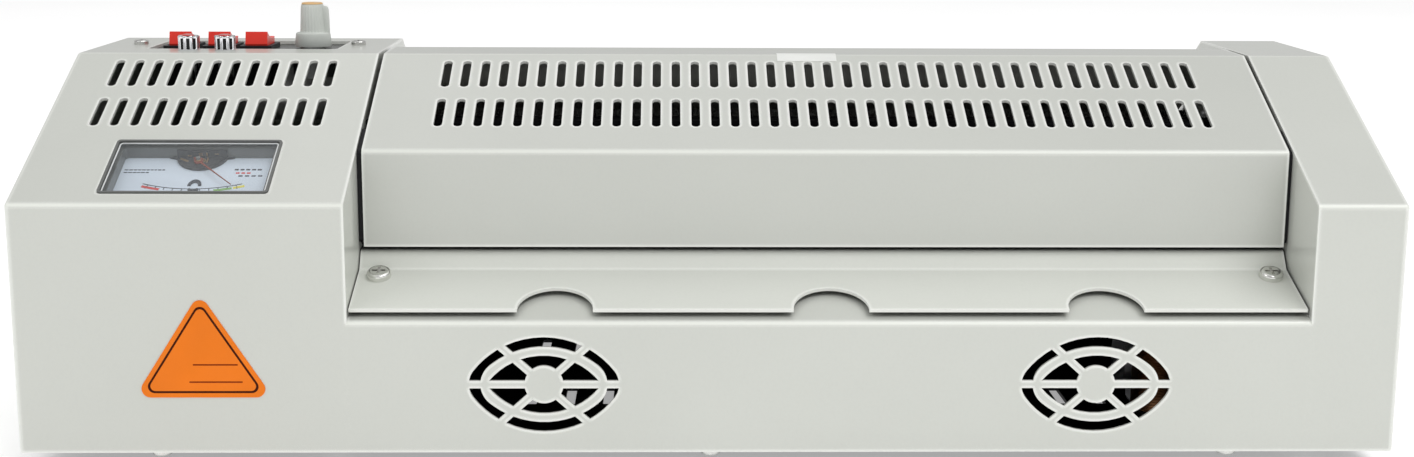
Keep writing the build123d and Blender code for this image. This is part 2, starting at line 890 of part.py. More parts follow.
def tie_rods():
    """Three round bars between the frames, tapped at both ends."""
    x0, x1 = left_cheek_edge - sheet, right_cheek_edge + sheet
    group = []
    tapped = screw_length - frame_sheet + 1.0
    for depth, height in rod_places:
        bar = rod_x(rod_radius, x0, x1, depth, height)
        bar -= rod_x(screw_radius + hole_gap, x0 - 1, x0 + tapped, depth, height)
        bar -= rod_x(screw_radius + hole_gap, x1 - tapped, x1 + 1, depth, height)
        group.append(bar)
    return group


def bushes():
    """Flanged bushes for the lower rollers, two at each end."""
    group = []
    height = nip_height - roller_pitch / 2
    for wall, out in ((left_cheek_edge - sheet, -1), (right_cheek_edge + sheet, 1)):
        for depth in (hot_depth, pull_depth):
            b0, b1 = sorted((wall - out * bush_flange, wall))
            c0, c1 = sorted((wall - out * bush_flange, wall + out * bush_length))
            bush = rod_x(bush_flange_radius, b0, b1, depth, height)
            bush += rod_x(bush_radius, c0, c1, depth, height)
            bush -= rod_x(journal_radius + running_fit, c0 - 1, c1 + 1, depth, height)
            group.append(bush)
    return group


def bearing_block(wall, out, depth):
    """Sliding block of an upper roller, grooved to run in the frame's slot."""
    height = nip_height + roller_pitch / 2
    b = block_half
    w0, w1 = sorted((wall - out * 1.0, wall + out * (frame_sheet + 1.0)))
    body = block(w0, w1, depth - b, depth + b, height - b, height + b)
    i0, i1 = sorted((wall - out * 2.0, wall - out * 0.1))
    body += block(i0, i1, depth - block_shoulder, depth + block_shoulder, height - b, height + b)
    near = wall + out * (frame_sheet + 0.1)
    o0, o1 = sorted((near, near + out * block_outer))
    body += block(o0, o1, depth - block_shoulder, depth + block_shoulder, height - b, height + b)
    peg_x = near + out * block_outer / 2
    body += rod_z(spring_peg, peg_x, depth, height + b - 1, height + b + 3)
    body -= rod_x(journal_radius + running_fit, wall - 20, wall + 20, depth, height)
    return body


def bearing_blocks(depth):
    """Left and right sliding blocks of one upper roller."""
    left = bearing_block(left_cheek_edge - sheet, -1, depth)
    right = bearing_block(right_cheek_edge + sheet, 1, depth)
    return [left, right]


def pressure_springs(depth):
    """Coil springs that press one upper roller's blocks down."""
    bottom = nip_height + roller_pitch / 2 + block_half
    top = frame_top - frame_sheet
    length = top - bottom - spring_wire
    group = []
    for wall, out in ((left_cheek_edge - sheet, -1), (right_cheek_edge + sheet, 1)):
        x = wall + out * (frame_sheet + 0.1 + block_outer / 2)
        path = Helix(length / spring_turns, length, spring_radius)
        profile = Plane(origin=path @ 0, z_dir=path % 0) * Circle(spring_wire / 2)
        coil = sweep(profile, path, is_frenet=True)
        group.append(Pos(x, place_y(depth), place_z(bottom + spring_wire / 2)) * coil)
    return group


# ---- rollers ----

def roller_core(depth, height):
    """Steel roller core with shoulders and journals."""
    x0 = bay_centre - sleeve_length / 2
    x1 = bay_centre + sleeve_length / 2
    left = left_cheek_edge - sheet
    right = right_cheek_edge + sheet
    core = rod_x(core_radius, x0, x1, depth, height)
    gear_end = right + frame_sheet + gear_offset + gear_width
    core += rod_x(shoulder_radius, left + shoulder_gap, right - shoulder_gap, depth, height)
    core += rod_x(journal_radius, left - journal_overhang, gear_end + 1.0, depth, height)
    return core


def roller_sleeve(depth, height):
    """Silicone sleeve bonded round a roller core."""
    x0 = bay_centre - sleeve_length / 2
    x1 = bay_centre + sleeve_length / 2
    sleeve = rod_x(sleeve_radius, x0, x1, depth, height)
    return sleeve - rod_x(core_radius, x0 - 1, x1 + 1, depth, height)


def gear_sketch(teeth, bore, start):
    """Spur gear outline with straight-sided teeth, first tooth at the start angle."""
    pitch_radius = teeth * module / 2
    tip = pitch_radius + 0.9 * module
    root = pitch_radius - 1.25 * module
    step = 2 * pi / teeth
    points = []
    for index in range(teeth):
        middle = start + index * step
        for radius, share in ((root, -0.33), (tip, -0.13), (tip, 0.13), (root, 0.33)):
            angle = middle + share * step
            points.append((radius * cos(angle), radius * sin(angle)))
    return make_face(Polyline(*points, close=True)) - Circle(bore)


def spur_gear(depth, height, teeth, bore, start):
    """Gear on the right-hand side, turning about X."""
    x0 = right_cheek_edge + sheet + frame_sheet + gear_offset
    plane = Plane.YZ.offset(x0)
    plane.origin = (x0, place_y(depth), place_z(height))
    return extrude(plane * gear_sketch(teeth, bore, start), gear_width)


def meshed_angle(angle, teeth, partner_teeth, direction):
    """Start angle of a gear meshing with one whose start angle and direction are known."""
    return direction + pi - ((angle - direction) * teeth + pi) / partner_teeth


def stud_places():
    """Idler centres: between the roller pairs, and between motor and hot roller."""
    low = nip_height - roller_pitch / 2
    a_radius = (pinion_teeth + drive_teeth) * module / 2
    b_radius = (roller_teeth + drive_teeth) * module / 2
    span_y = hot_depth - motor_depth
    span_z = low - motor_height
    span = hypot(span_y, span_z)
    along = (a_radius ** 2 - b_radius ** 2 + span ** 2) / (2 * span)
    across = sqrt(a_radius ** 2 - along ** 2)
    depth = motor_depth + (along * span_y + across * span_z) / span
    height = motor_height + (along * span_z - across * span_y) / span
    return [((hot_depth + pull_depth) / 2, low), (depth, height)]


def gear_angles():
    """Start angle of every gear so that the whole train is in mesh at rest."""
    low = nip_height - roller_pitch / 2
    drive_depth, drive_height = stud_places()[1]
    hot = 0.0
    pair = meshed_angle(hot, roller_teeth, pair_teeth, 0.0)
    pull = meshed_angle(pair, pair_teeth, roller_teeth, 0.0)
    to_drive = atan2(drive_height - low, drive_depth - hot_depth)
    drive = meshed_angle(hot, roller_teeth, drive_teeth, to_drive)
    to_pinion = atan2(motor_height - drive_height, motor_depth - drive_depth)
    pinion = meshed_angle(drive, drive_teeth, pinion_teeth, to_pinion)
    return {
        "hot_lower": hot,
        "hot_upper": meshed_angle(hot, roller_teeth, roller_teeth, pi / 2),
        "pair": pair,
        "pull_lower": pull,
        "pull_upper": meshed_angle(pull, roller_teeth, roller_teeth, pi / 2),
        "drive": drive,
        "pinion": pinion,
    }


def idler_studs():
    """Shoulder studs riveted in the right-hand frame for the two idlers."""
    wall = right_cheek_edge + sheet
    gear_start = wall + frame_sheet + gear_offset
    group = []
    for depth, height in stud_places():
        stud = rod_x(stud_radius, wall, gear_start + gear_width + 0.6, depth, height)
        stud += rod_x(stud_collar, wall + frame_sheet, gear_start - 0.3, depth, height)
        stud += rod_x(stud_head, gear_start + gear_width + 0.4, gear_start + gear_width + 2.2, depth, height)
        group.append(stud)
    return group


def drive_pinion():
    """Gearbox output shaft with its pinion."""
    wall = right_cheek_edge + sheet
    start = gear_angles()["pinion"]
    gear = spur_gear(motor_depth, motor_height, pinion_teeth, 1.0, start)
    end = wall + frame_sheet + gear_offset + gear_width
    return gear + rod_x(output_radius, right_cheek_edge - output_depth, end + 1.0, motor_depth, motor_height)


def motor_gearbox():
    """Closed gearbox of the motor, screwed to the right-hand frame."""
    x1 = right_cheek_edge
    x0 = x1 - gearbox_length
    half_d, half_h = gearbox_wide / 2, gearbox_tall / 2
    d0, d1 = motor_depth - half_d, motor_depth + half_d
    case = block(x0, x1, d0, d1, motor_height - half_h, motor_height + half_h)
    case = fillet(case.edges().filter_by(Axis.X), gearbox_corner)
    case -= rod_x(output_radius + running_fit, x1 - output_depth - 1.0, x1 + 1, motor_depth, motor_height)
    for depth, height in gearbox_screw_places():
        case -= rod_x(screw_radius + hole_gap, x1 - 6.0, x1 + 1, depth, height)
    return case


def motor_xs():
    """Left and right ends of the motor's stack of laminations."""
    x1 = right_cheek_edge - gearbox_length - bell_length
    return x1 - stator_length, x1


def motor_stator():
    """Stack of laminations with a leg in front for the winding."""
    x0, x1 = motor_xs()
    front, rear = motor_depth - stator_front, motor_depth + stator_rear
    leg = front + leg_thickness
    low, high = motor_height - stator_half, motor_height + stator_half
    stack = block(x0, x1, front, rear, low, high)
    slot_low, slot_high = motor_height - leg_slot_half, motor_height + leg_slot_half
    stack -= block(x0 - 1, x1 + 1, leg, leg + leg_slot, slot_low, slot_high)
    return stack - rod_x(rotor_bore, x0 - 1, x1 + 1, motor_depth + rotor_behind, motor_height)


def motor_coil():
    """Copper winding on the stack's front leg."""
    x0, x1 = motor_xs()
    side = (coil_length - stator_length) / 2
    front = motor_depth - stator_front
    leg = front + leg_thickness
    low, high = motor_height - coil_half, motor_height + coil_half
    coil = block(x0 - side, x1 + side, front - coil_build, leg + leg_slot - coil_slack, low, high)
    coil = fillet(coil.edges().filter_by(Axis.Z), coil_corner)
    return coil - block(x0, x1, front, leg, low - 1, high + 1)


def motor_bells():
    """End bells that close the motor's bore on both sides."""
    x0, x1 = motor_xs()
    depth = motor_depth + rotor_behind
    d0, d1 = depth - bell_bar_depth, depth + bell_bar_depth
    low, high = motor_height - bell_bar_half, motor_height + bell_bar_half
    left = rod_x(bell_radius, x0 - bell_reach, x0, depth, motor_height)
    left += block(x0 - bell_bar, x0, d0, d1, low, high)
    right = rod_x(bell_radius, x1, x1 + bell_length, depth, motor_height)
    right += block(x1, x1 + bell_bar, d0, d1, low, high)
    return [left, right]


def heater_shoe(height, up):
    """Curved heater shoe round one hot roller, with a bore for its heater."""
    x0, x1 = left_cheek_edge - sheet, right_cheek_edge + sheet
    inner = sleeve_radius + shoe_gap
    outer = inner + shoe_thickness
    ring = Circle(outer) - Circle(inner)
    reach = outer * 2
    half = radians(shoe_half_angle)
    side, rise = reach * sin(half), reach * cos(half)
    corners = ((0, 0), (-side, rise), (-reach, reach * 2), (reach, reach * 2), (side, rise))
    sketch = ring & make_face(Polyline(*corners, close=True))
    boss_y = inner + boss_rise
    sketch += Pos(0, boss_y) * RectangleRounded(boss_wide, boss_tall, boss_corner) - Circle(inner)
    sketch -= Pos(0, boss_y) * Circle(heater_radius + hole_gap)
    plane = Plane.YZ.offset(x0)
    plane.origin = (x0, place_y(hot_depth), place_z(height))
    return extrude(plane * (sketch if up else sketch.mirror(Plane.XZ)), x1 - x0)


def heater_shoes():
    """Upper and lower heater shoes of the hot rollers."""
    half = roller_pitch / 2
    return [heater_shoe(nip_height + half, True), heater_shoe(nip_height - half, False)]


def heater_rods():
    """Cartridge heaters in the shoes' bores."""
    offset = roller_pitch / 2 + sleeve_radius + shoe_gap + boss_rise
    x0, x1 = left_cheek_edge + heater_inset, right_cheek_edge - heater_inset
    return [rod_x(heater_radius, x0, x1, hot_depth, nip_height + sign * offset) for sign in (-1, 1)]


# ---- meter ----

def meter_sketch(wide, tall, radius):
    """Rounded rectangle centred on the meter window."""
    return Pos(meter_x, meter_up) * RectangleRounded(wide, tall, radius)


def meter_case():
    """Meter body behind the slope, with a thin raised rim in the casing's window and a seat for the pane."""
    plane = slope_plane()
    fit = meter_fit
    flange_low = -sheet - 1.5
    wide, tall = meter_wide - fit, meter_tall - fit
    rim = plane_prism(plane, meter_sketch(wide, tall, meter_corner - fit / 2), flange_low, meter_rim_height)
    out = 2 * meter_flange
    flange = plane_prism(plane, meter_sketch(meter_wide + out, meter_tall + out, 2.0), flange_low, -sheet)
    body_wide, body_tall = meter_body_size()
    body = plane_prism(plane, meter_sketch(body_wide, body_tall, 2.0), -meter_body_depth, -sheet)
    solid = rim + flange + body
    hollow = meter_sketch(body_wide - 2 * meter_wall, body_tall - 2 * meter_wall, 1.2)
    solid -= plane_prism(plane, hollow, -meter_body_depth + meter_wall, 5)
    solid -= plane_prism(plane, meter_sketch(*meter_seat_size(), 1.0), pane_low, 5)
    post = Pos(meter_x, meter_up + needle_pivot_up) * Circle(needle_pin)
    foot = Pos(meter_x, meter_up + needle_pivot_up) * Circle(needle_foot)
    solid += plane_prism(plane, post, -meter_body_depth + 1, pane_low - 1.0)
    solid += plane_prism(plane, foot, -meter_body_depth + 1, needle_low - 0.6)
    return solid


def meter_body_size():
    """Width and height of the meter's body below its flange."""
    return meter_wide - 2 * meter_body_inset, meter_tall - 2 * meter_body_inset


def meter_seat_size():
    """Width and height of the seat that the pane drops into."""
    inset = meter_fit + 2 * meter_rim
    return meter_wide - inset, meter_tall - inset


def meter_dial():
    """Printed dial plate inside the meter."""
    body_wide, body_tall = meter_body_size()
    inset = 2 * meter_wall + 0.1
    hole = Pos(meter_x, meter_up + needle_pivot_up) * Circle(needle_foot + hole_gap)
    sketch = meter_sketch(body_wide - inset, body_tall - inset, 1.4) - hole
    return plane_prism(slope_plane(), sketch, dial_low, dial_high)


def meter_window():
    """Clear pane held in the meter's rim."""
    wide, tall = meter_seat_size()
    return plane_prism(slope_plane(), meter_sketch(wide - 0.1, tall - 0.1, 1.0), pane_low, pane_high)


def meter_needle():
    """Pointer that swings over the dial, parked at the cold end of its scale."""
    blade = Pos(0, -needle_length / 2 + 2) * Rectangle(0.8, needle_length)
    sketch = Rot(0, 0, needle_park) * (Circle(needle_hub) + blade) - Circle(needle_pin + running_fit)
    place = Pos(meter_x, meter_up + needle_pivot_up)
    return plane_prism(slope_plane(), place * sketch, needle_low, needle_high)


# ---- control panel ----

def control_panel():
    """Black plate under the top's cut-out that carries switches and control."""
    under = top_height - sheet
    x0, x1 = panel_left - panel_margin, panel_right + panel_margin - 1
    plate = block(x0, x1, panel_front - 1.0, panel_back + 3, under - panel_thickness, under)
    wide = bezel_wide / 2 - 0.8
    deep = bezel_long / 2 - 0.7
    for x in rocker_places:
        plate -= block(x - wide, x + wide, control_depth - deep, control_depth + deep, under - 4, under + 1)
    plate -= rod_z(control_bush + 0.1, knob_x, control_depth, under - 4, under + 1)
    for x in (panel_screw_left, panel_screw_right):
        plate -= rod_z(panel_shank + hole_gap, x, control_depth, under - 4, under + 1)
    return plate


def switch_body(x):
    """Rocker switch body and bezel, open on top, with a pivot pin."""
    under = top_height - sheet
    half, long = bezel_wide / 2, bezel_long / 2
    d0, d1 = control_depth - long, control_depth + long
    body = block(x - half + 1.0, x + half - 1.0, d0 + 0.9, d1 - 0.9, under - switch_depth, under + 0.4)
    bezel = block(x - half, x + half, d0, d1, under, under + bezel_height)
    bezel = fillet(bezel.edges().filter_by(Axis.Z), 1.2)
    inner = rocker_wide / 2 + rocker_side_gap
    deep = rocker_half + rocker_clear
    floor = under + rocker_pivot - rocker_drop - 4.5
    solid = body + bezel
    solid -= block(x - inner, x + inner, control_depth - deep, control_depth + deep, floor, under + 5)
    return solid + rod_x(rocker_pin, x - inner - 0.2, x + inner + 0.2, control_depth, under + rocker_pivot)


def switch_bodies():
    """Three rocker switch bodies."""
    return [switch_body(x) for x in rocker_places]


def rocker(x):
    """Rocker with a shallow saddle top, resting with its front end up."""
    side = [(-rocker_half, 0), (-rocker_half + 0.3, rocker_rise), (-rocker_half / 2, rocker_saddle + 0.35)]
    mirrored = [(-depth, height) for depth, height in reversed(side)]
    outline = side + [(0, rocker_saddle)] + mirrored + [(3.6, -rocker_drop), (-3.6, -rocker_drop)]
    face = make_face(Polyline(*outline, close=True))
    shape = extrude(Plane.YZ.offset(-rocker_wide / 2) * face, rocker_wide)
    shape -= Rot(0, 90, 0) * Cylinder(rocker_pin + running_fit, rocker_wide + 2)
    centre = (x, place_y(control_depth), place_z(top_height - sheet + rocker_pivot))
    return Pos(*centre) * Rot(-rocker_tilt, 0, 0) * shape


def lamp_bezels():
    """Bright rings of the two indicator lamps, clamped through the top."""
    group = []
    for x in lamp_places:
        ring = rod_z(lamp_radius, x, lamp_depth, top_height, top_height + lamp_height)
        ring = fillet(ring.edges().sort_by(Axis.Z)[-1], 0.8)
        ring += rod_z(lamp_stem, x, lamp_depth, top_height - 16, top_height + 0.5)
        nut = rod_z(lamp_radius + 1.0, x, lamp_depth, top_height - sheet - 2.5, top_height - sheet)
        ring += nut
        ring -= rod_z(lens_radius + hole_gap, x, lamp_depth, top_height - 10, top_height + lamp_height + 1)
        group.append(ring)
    return group


def lamp_lenses():
    """Coloured lenses with domed tops inside the lamp rings."""
    group = []
    for x in lamp_places:
        lens_rod = rod_z(lens_radius, x, lamp_depth, top_height - 10, top_height + lamp_height + lens_rise)
        group.append(fillet(lens_rod.edges().sort_by(Axis.Z)[-1], lens_radius * 0.5))
    return group


def potentiometer():
    """Rotary control under the panel, with its bushing and nut."""
    under = top_height - sheet
    body = rod_z(control_body, knob_x, control_depth, under - 12, under - panel_thickness)
    body += rod_z(control_bush, knob_x, control_depth, under - 3, under + 3.5)
    body += rod_z(control_nut, knob_x, control_depth, under, under + 1.8)
    return body - rod_z(knob_shaft_radius + running_fit, knob_x, control_depth, under - 10, under + 10)


def knob_shaft():
    """Shaft of the rotary control, turning with its knob."""
    under = top_height - sheet
    return rod_z(knob_shaft_radius, knob_x, control_depth, under - 9.9, under + knob_shaft_height)


def knob():
    """Skirted knob with a raised pointer on its right-hand side."""
    under = top_height - sheet
    low = under + knob_lift
    skirt_high = top_height + knob_skirt_height
    high = top_height + knob_height
    place = Pos(knob_x, place_y(control_depth))
    skirt = Cone(knob_skirt, knob_skirt_top, skirt_high - low)
    skirt = place * Pos(0, 0, place_z((low + skirt_high) / 2)) * skirt
    skirt = fillet(skirt.edges().sort_by(Axis.Z)[-1], 0.6)
    body = place * Pos(0, 0, place_z((low + high) / 2)) * Cone(knob_radius, knob_top_radius, high - low)
    body = fillet(body.edges().sort_by(Axis.Z)[-1], 0.8)
    half = knob_pointer_wide / 2
    d0, d1 = control_depth - half, control_depth + half
    pointer = block(knob_x + 3.2, knob_x + knob_pointer, d0, d1, skirt_high - 1.0, high - 1.5)
    pointer = fillet(pointer.edges().filter_by(Axis.Z).sort_by(Axis.X)[-2:], 0.8)
    solid = skirt + body + pointer
    solid -= rod_z(knob_recess, knob_x, control_depth, low - 1, low + 3.4)
    bore_top = under + knob_shaft_height + 0.1
    return solid - rod_z(knob_shaft_radius + gear_fit, knob_x, control_depth, low - 1, bore_top)


# ---- electrics ----

def board_item(x0, x1, d0, d1, tall):
    """Box-shaped component, placed from the board's left front corner."""
    left, front = board_left, board_front
    low = board_height + board_thickness - 0.1
    return block(left + x0, left + x1, front + d0, front + d1, low, board_height + board_thickness + tall)


def control_board():
    """Circuit board on the base plate with its soldered parts."""
    x0, x1 = board_left, board_left + board_wide
    d0, d1 = board_front, board_front + board_deep
    top = board_height + board_thickness
    board = block(x0, x1, d0, d1, board_height, top)
    for x, depth in board_post_places():
        board -= rod_z(board_spigot + 0.1, x, depth, board_height - 1, top + 1)
    board += board_item(8, 24, 10, 30, 15.4)
    board += board_item(30, 46, 10, 30, 15.4)
    board += rod_z(8.0, board_left + 65, board_front + 22, top - 0.1, top + 24.4)
    board += board_item(10, 60, 74, 84, 11.4)
    board += board_item(22, 34, 44, 62, 4.4)
    board += board_item(56, 59, 42, 68, 26.4)
    return board


def board_post_places():
    """Corners of the circuit board that are held by posts."""
    inset = board_post_inset
    xs = (board_left + inset, board_left + board_wide - inset)
    depths = (board_front + inset, board_front + board_deep - inset)
    return [(x, depth) for x in xs for depth in depths]


def board_posts():
    """Four posts between base plate and board, with a spigot through it."""
    group = []
    for x, depth in board_post_places():
        post = rod_z(board_post_radius, x, depth, base_thickness, board_height)
        group.append(post + rod_z(board_spigot, x, depth, board_height - 1, board_height + 3.0))
    return group


def inlet_block(shrink, d0, d1):
    """Box of the inlet's size, made smaller all round."""
    half_w, half_t = inlet_wide / 2 - shrink, inlet_tall / 2 - shrink
    return block(inlet_x - half_w, inlet_x + half_w, d0, d1, inlet_height - half_t, inlet_height + half_t)


def power_inlet():
    """Snap-in mains inlet in the rear wall, with its three blades."""
    rear = casing_depth
    body = inlet_block(0.1, rear - inlet_body, rear + 0.4)
    flange = inlet_block(-inlet_rim, rear, rear + inlet_flange)
    body += fillet(flange.edges().filter_by(Axis.Y), 1.5)
    cavity = inlet_block(1.6, rear - inlet_body + 3, rear + 4)
    corners = cavity.edges().filter_by(Axis.Y).group_by(Axis.Z)[-1]
    body -= chamfer(corners, 4.0)
    for dx, dh in ((-7.0, -2.0), (0.0, 2.0), (7.0, -2.0)):
        x, h = inlet_x + dx, inlet_height + dh
        body += block(x - 1.0, x + 1.0, rear - inlet_body - 6, rear - 3, h - 2.0, h + 2.0)
    return body


def front_label():
    """Blank orange triangle on the front wall, left of the grilles."""
    corners = ((label_x, label_high), (label_x - label_half, label_low), (label_x + label_half, label_low))
    face = make_face(Polyline(*corners, close=True))
    face = fillet(face.vertices(), label_corner)
    plane = Plane(origin=(0, place_y(0), place_z(0)), x_dir=(1, 0, 0), z_dir=(0, -1, 0))
    return extrude(plane * face, label_thickness)


def as_one_file(shape):
    """A group of separate solids becomes one compound; a single solid stays itself."""
    if isinstance(shape, list):
        solids = [solid for piece in shape for solid in piece.solids()]
        return Compound(children=solids)
    solids = shape.solids()
    return solids[0] if len(solids) == 1 else Compound(children=list(solids))


def all_parts():
    """Every node of the laminator by name."""
    low = nip_height - roller_pitch / 2
    high = nip_height + roller_pitch / 2
    angles = gear_angles()
    idlers = stud_places()
    stud_bore = stud_radius + running_fit
    parts = {
        "casing": casing(),
        "base_plate": base_plate(),
        "feet": feet(),
        "pan_screws": pan_screws(),
        "tray_screws": tray_screws(),
        "panel_screws": panel_screws(),
        "cover": cover(),
        "feed_tray": feed_tray(),
        "exit_guide": exit_guide(),
        "front_bar": front_bar(),
        "rear_bar": rear_bar(),
        "guide_plates": guide_plates(),
        "frame_left": frame_left(),
        "frame_right": frame_right(),
        "tie_rods": tie_rods(),
        "bushes": bushes(),
        "hot_blocks": bearing_blocks(hot_depth),
        "pull_blocks": bearing_blocks(pull_depth),
        "hot_springs": pressure_springs(hot_depth),
        "pull_springs": pressure_springs(pull_depth),
        "idler_studs": idler_studs(),
        "pair_idler": spur_gear(idlers[0][0], idlers[0][1], pair_teeth, stud_bore, angles["pair"]),
        "drive_idler": spur_gear(idlers[1][0], idlers[1][1], drive_teeth, stud_bore, angles["drive"]),
        "drive_pinion": drive_pinion(),
        "motor_gearbox": motor_gearbox(),
        "motor_stator": motor_stator(),
        "motor_coil": motor_coil(),
        "motor_bells": motor_bells(),
        "heater_shoes": heater_shoes(),
        "heater_rods": heater_rods(),
        "meter_case": meter_case(),
        "meter_dial": meter_dial(),
        "meter_window": meter_window(),
        "meter_needle": meter_needle(),
        "control_panel": control_panel(),
        "switch_bodies": switch_bodies(),
        "lamp_bezels": lamp_bezels(),
        "lamp_lenses": lamp_lenses(),
        "potentiometer": potentiometer(),
        "knob_shaft": knob_shaft(),
        "knob": knob(),
        "control_board": control_board(),
        "board_posts": board_posts(),
        "power_inlet": power_inlet(),
        "front_label": front_label(),
    }
    rollers = (
        ("hot_lower", hot_depth, low),
        ("hot_upper", hot_depth, high),
        ("pull_lower", pull_depth, low),
        ("pull_upper", pull_depth, high),
    )
    for name, depth, height in rollers:
        parts[name + "_core"] = roller_core(depth, height)
        parts[name + "_sleeve"] = roller_sleeve(depth, height)
        bore = journal_radius + gear_fit
        parts[name + "_gear"] = spur_gear(depth, height, roller_teeth, bore, angles[name])
    for index, x in enumerate(rocker_places, start=1):
        parts["rocker_" + str(index)] = rocker(x)
    return parts


os.makedirs("parts", exist_ok=True)
for node, shape in all_parts().items():
    export_step(as_one_file(shape), os.path.join("parts", node + ".step"))
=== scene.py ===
import json
import math

import bmesh
import bpy
from mathutils import Matrix, Vector


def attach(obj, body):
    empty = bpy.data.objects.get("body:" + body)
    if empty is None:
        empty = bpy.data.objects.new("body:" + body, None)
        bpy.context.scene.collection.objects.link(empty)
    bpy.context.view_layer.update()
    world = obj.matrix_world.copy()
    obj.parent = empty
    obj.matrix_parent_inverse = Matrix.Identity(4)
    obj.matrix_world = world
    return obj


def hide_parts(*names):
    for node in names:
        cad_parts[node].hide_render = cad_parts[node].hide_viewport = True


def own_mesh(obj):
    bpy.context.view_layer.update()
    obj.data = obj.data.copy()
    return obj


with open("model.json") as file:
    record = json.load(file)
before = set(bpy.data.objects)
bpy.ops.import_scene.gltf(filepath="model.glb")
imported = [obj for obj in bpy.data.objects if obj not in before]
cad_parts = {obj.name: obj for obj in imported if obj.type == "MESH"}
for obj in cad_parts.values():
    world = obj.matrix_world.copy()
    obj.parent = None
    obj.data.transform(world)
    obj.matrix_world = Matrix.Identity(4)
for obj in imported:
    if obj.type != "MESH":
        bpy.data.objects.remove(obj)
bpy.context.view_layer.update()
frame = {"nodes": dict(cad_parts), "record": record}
NODES = frame["nodes"]
MM = 0.001

# ---------------------------------------------------------------- camera

CAMERA_PLACE = Vector((-0.01534, -0.77877, 0.2160))
CAMERA_YAW = 0.0205
CAMERA_PITCH = 0.1877
CAMERA_ROLL = 0.0048
CAMERA_LENS = 48.02
CAMERA_SENSOR = 36.0


def make_camera():
    """Camera at the photograph's viewing angle."""
    forward = Vector((math.sin(CAMERA_YAW) * math.cos(CAMERA_PITCH),
                      math.cos(CAMERA_YAW) * math.cos(CAMERA_PITCH),
                      -math.sin(CAMERA_PITCH)))
    level = Vector((math.cos(CAMERA_YAW), -math.sin(CAMERA_YAW), 0.0))
    up = level.cross(forward)
    right = math.cos(CAMERA_ROLL) * level + math.sin(CAMERA_ROLL) * up
    top = -math.sin(CAMERA_ROLL) * level + math.cos(CAMERA_ROLL) * up
    data = bpy.data.cameras.new("camera")
    data.lens = CAMERA_LENS
    data.sensor_width = CAMERA_SENSOR
    data.clip_start = 0.01
    data.clip_end = 50.0
    camera = bpy.data.objects.new("camera", data)
    bpy.context.scene.collection.objects.link(camera)
    turn = Matrix((right, top, -forward)).transposed()
    camera.matrix_world = Matrix.Translation(CAMERA_PLACE) @ turn.to_4x4()
    bpy.context.scene.camera = camera


make_camera()

# ---------------------------------------------------------------- sizes repeated from part.py, in metres

FRONT_Y = -0.1197
BOTTOM_Z = 0.008
SLOPE = math.radians(25.55)
FRONT_HEIGHT = 0.0912
SLOPE_RUN = 0.0934
TOP_HEIGHT = FRONT_HEIGHT + SLOPE_RUN * math.tan(SLOPE)


def at(x, depth, height):
    """Point from X, depth behind the front wall and height above the casing's bottom, in millimetres."""
    return Vector((x * MM, FRONT_Y + depth * MM, BOTTOM_Z + height * MM))


def slope_matrix(x=0.0, up=0.0, out=0.0):
    """Place on the casing's slope: x across, y up the slope, z out of it (millimetres)."""
    across = Vector((1, 0, 0))
    climb = Vector((0, math.cos(SLOPE), math.sin(SLOPE)))
    normal = Vector((0, -math.sin(SLOPE), math.cos(SLOPE)))
    origin = Vector((0, FRONT_Y, BOTTOM_Z + FRONT_HEIGHT))
    place = origin + across * x * MM + climb * up * MM + normal * out * MM
    turn = Matrix((across, climb, normal)).transposed()
    return Matrix.Translation(place) @ turn.to_4x4()


# ---------------------------------------------------------------- materials

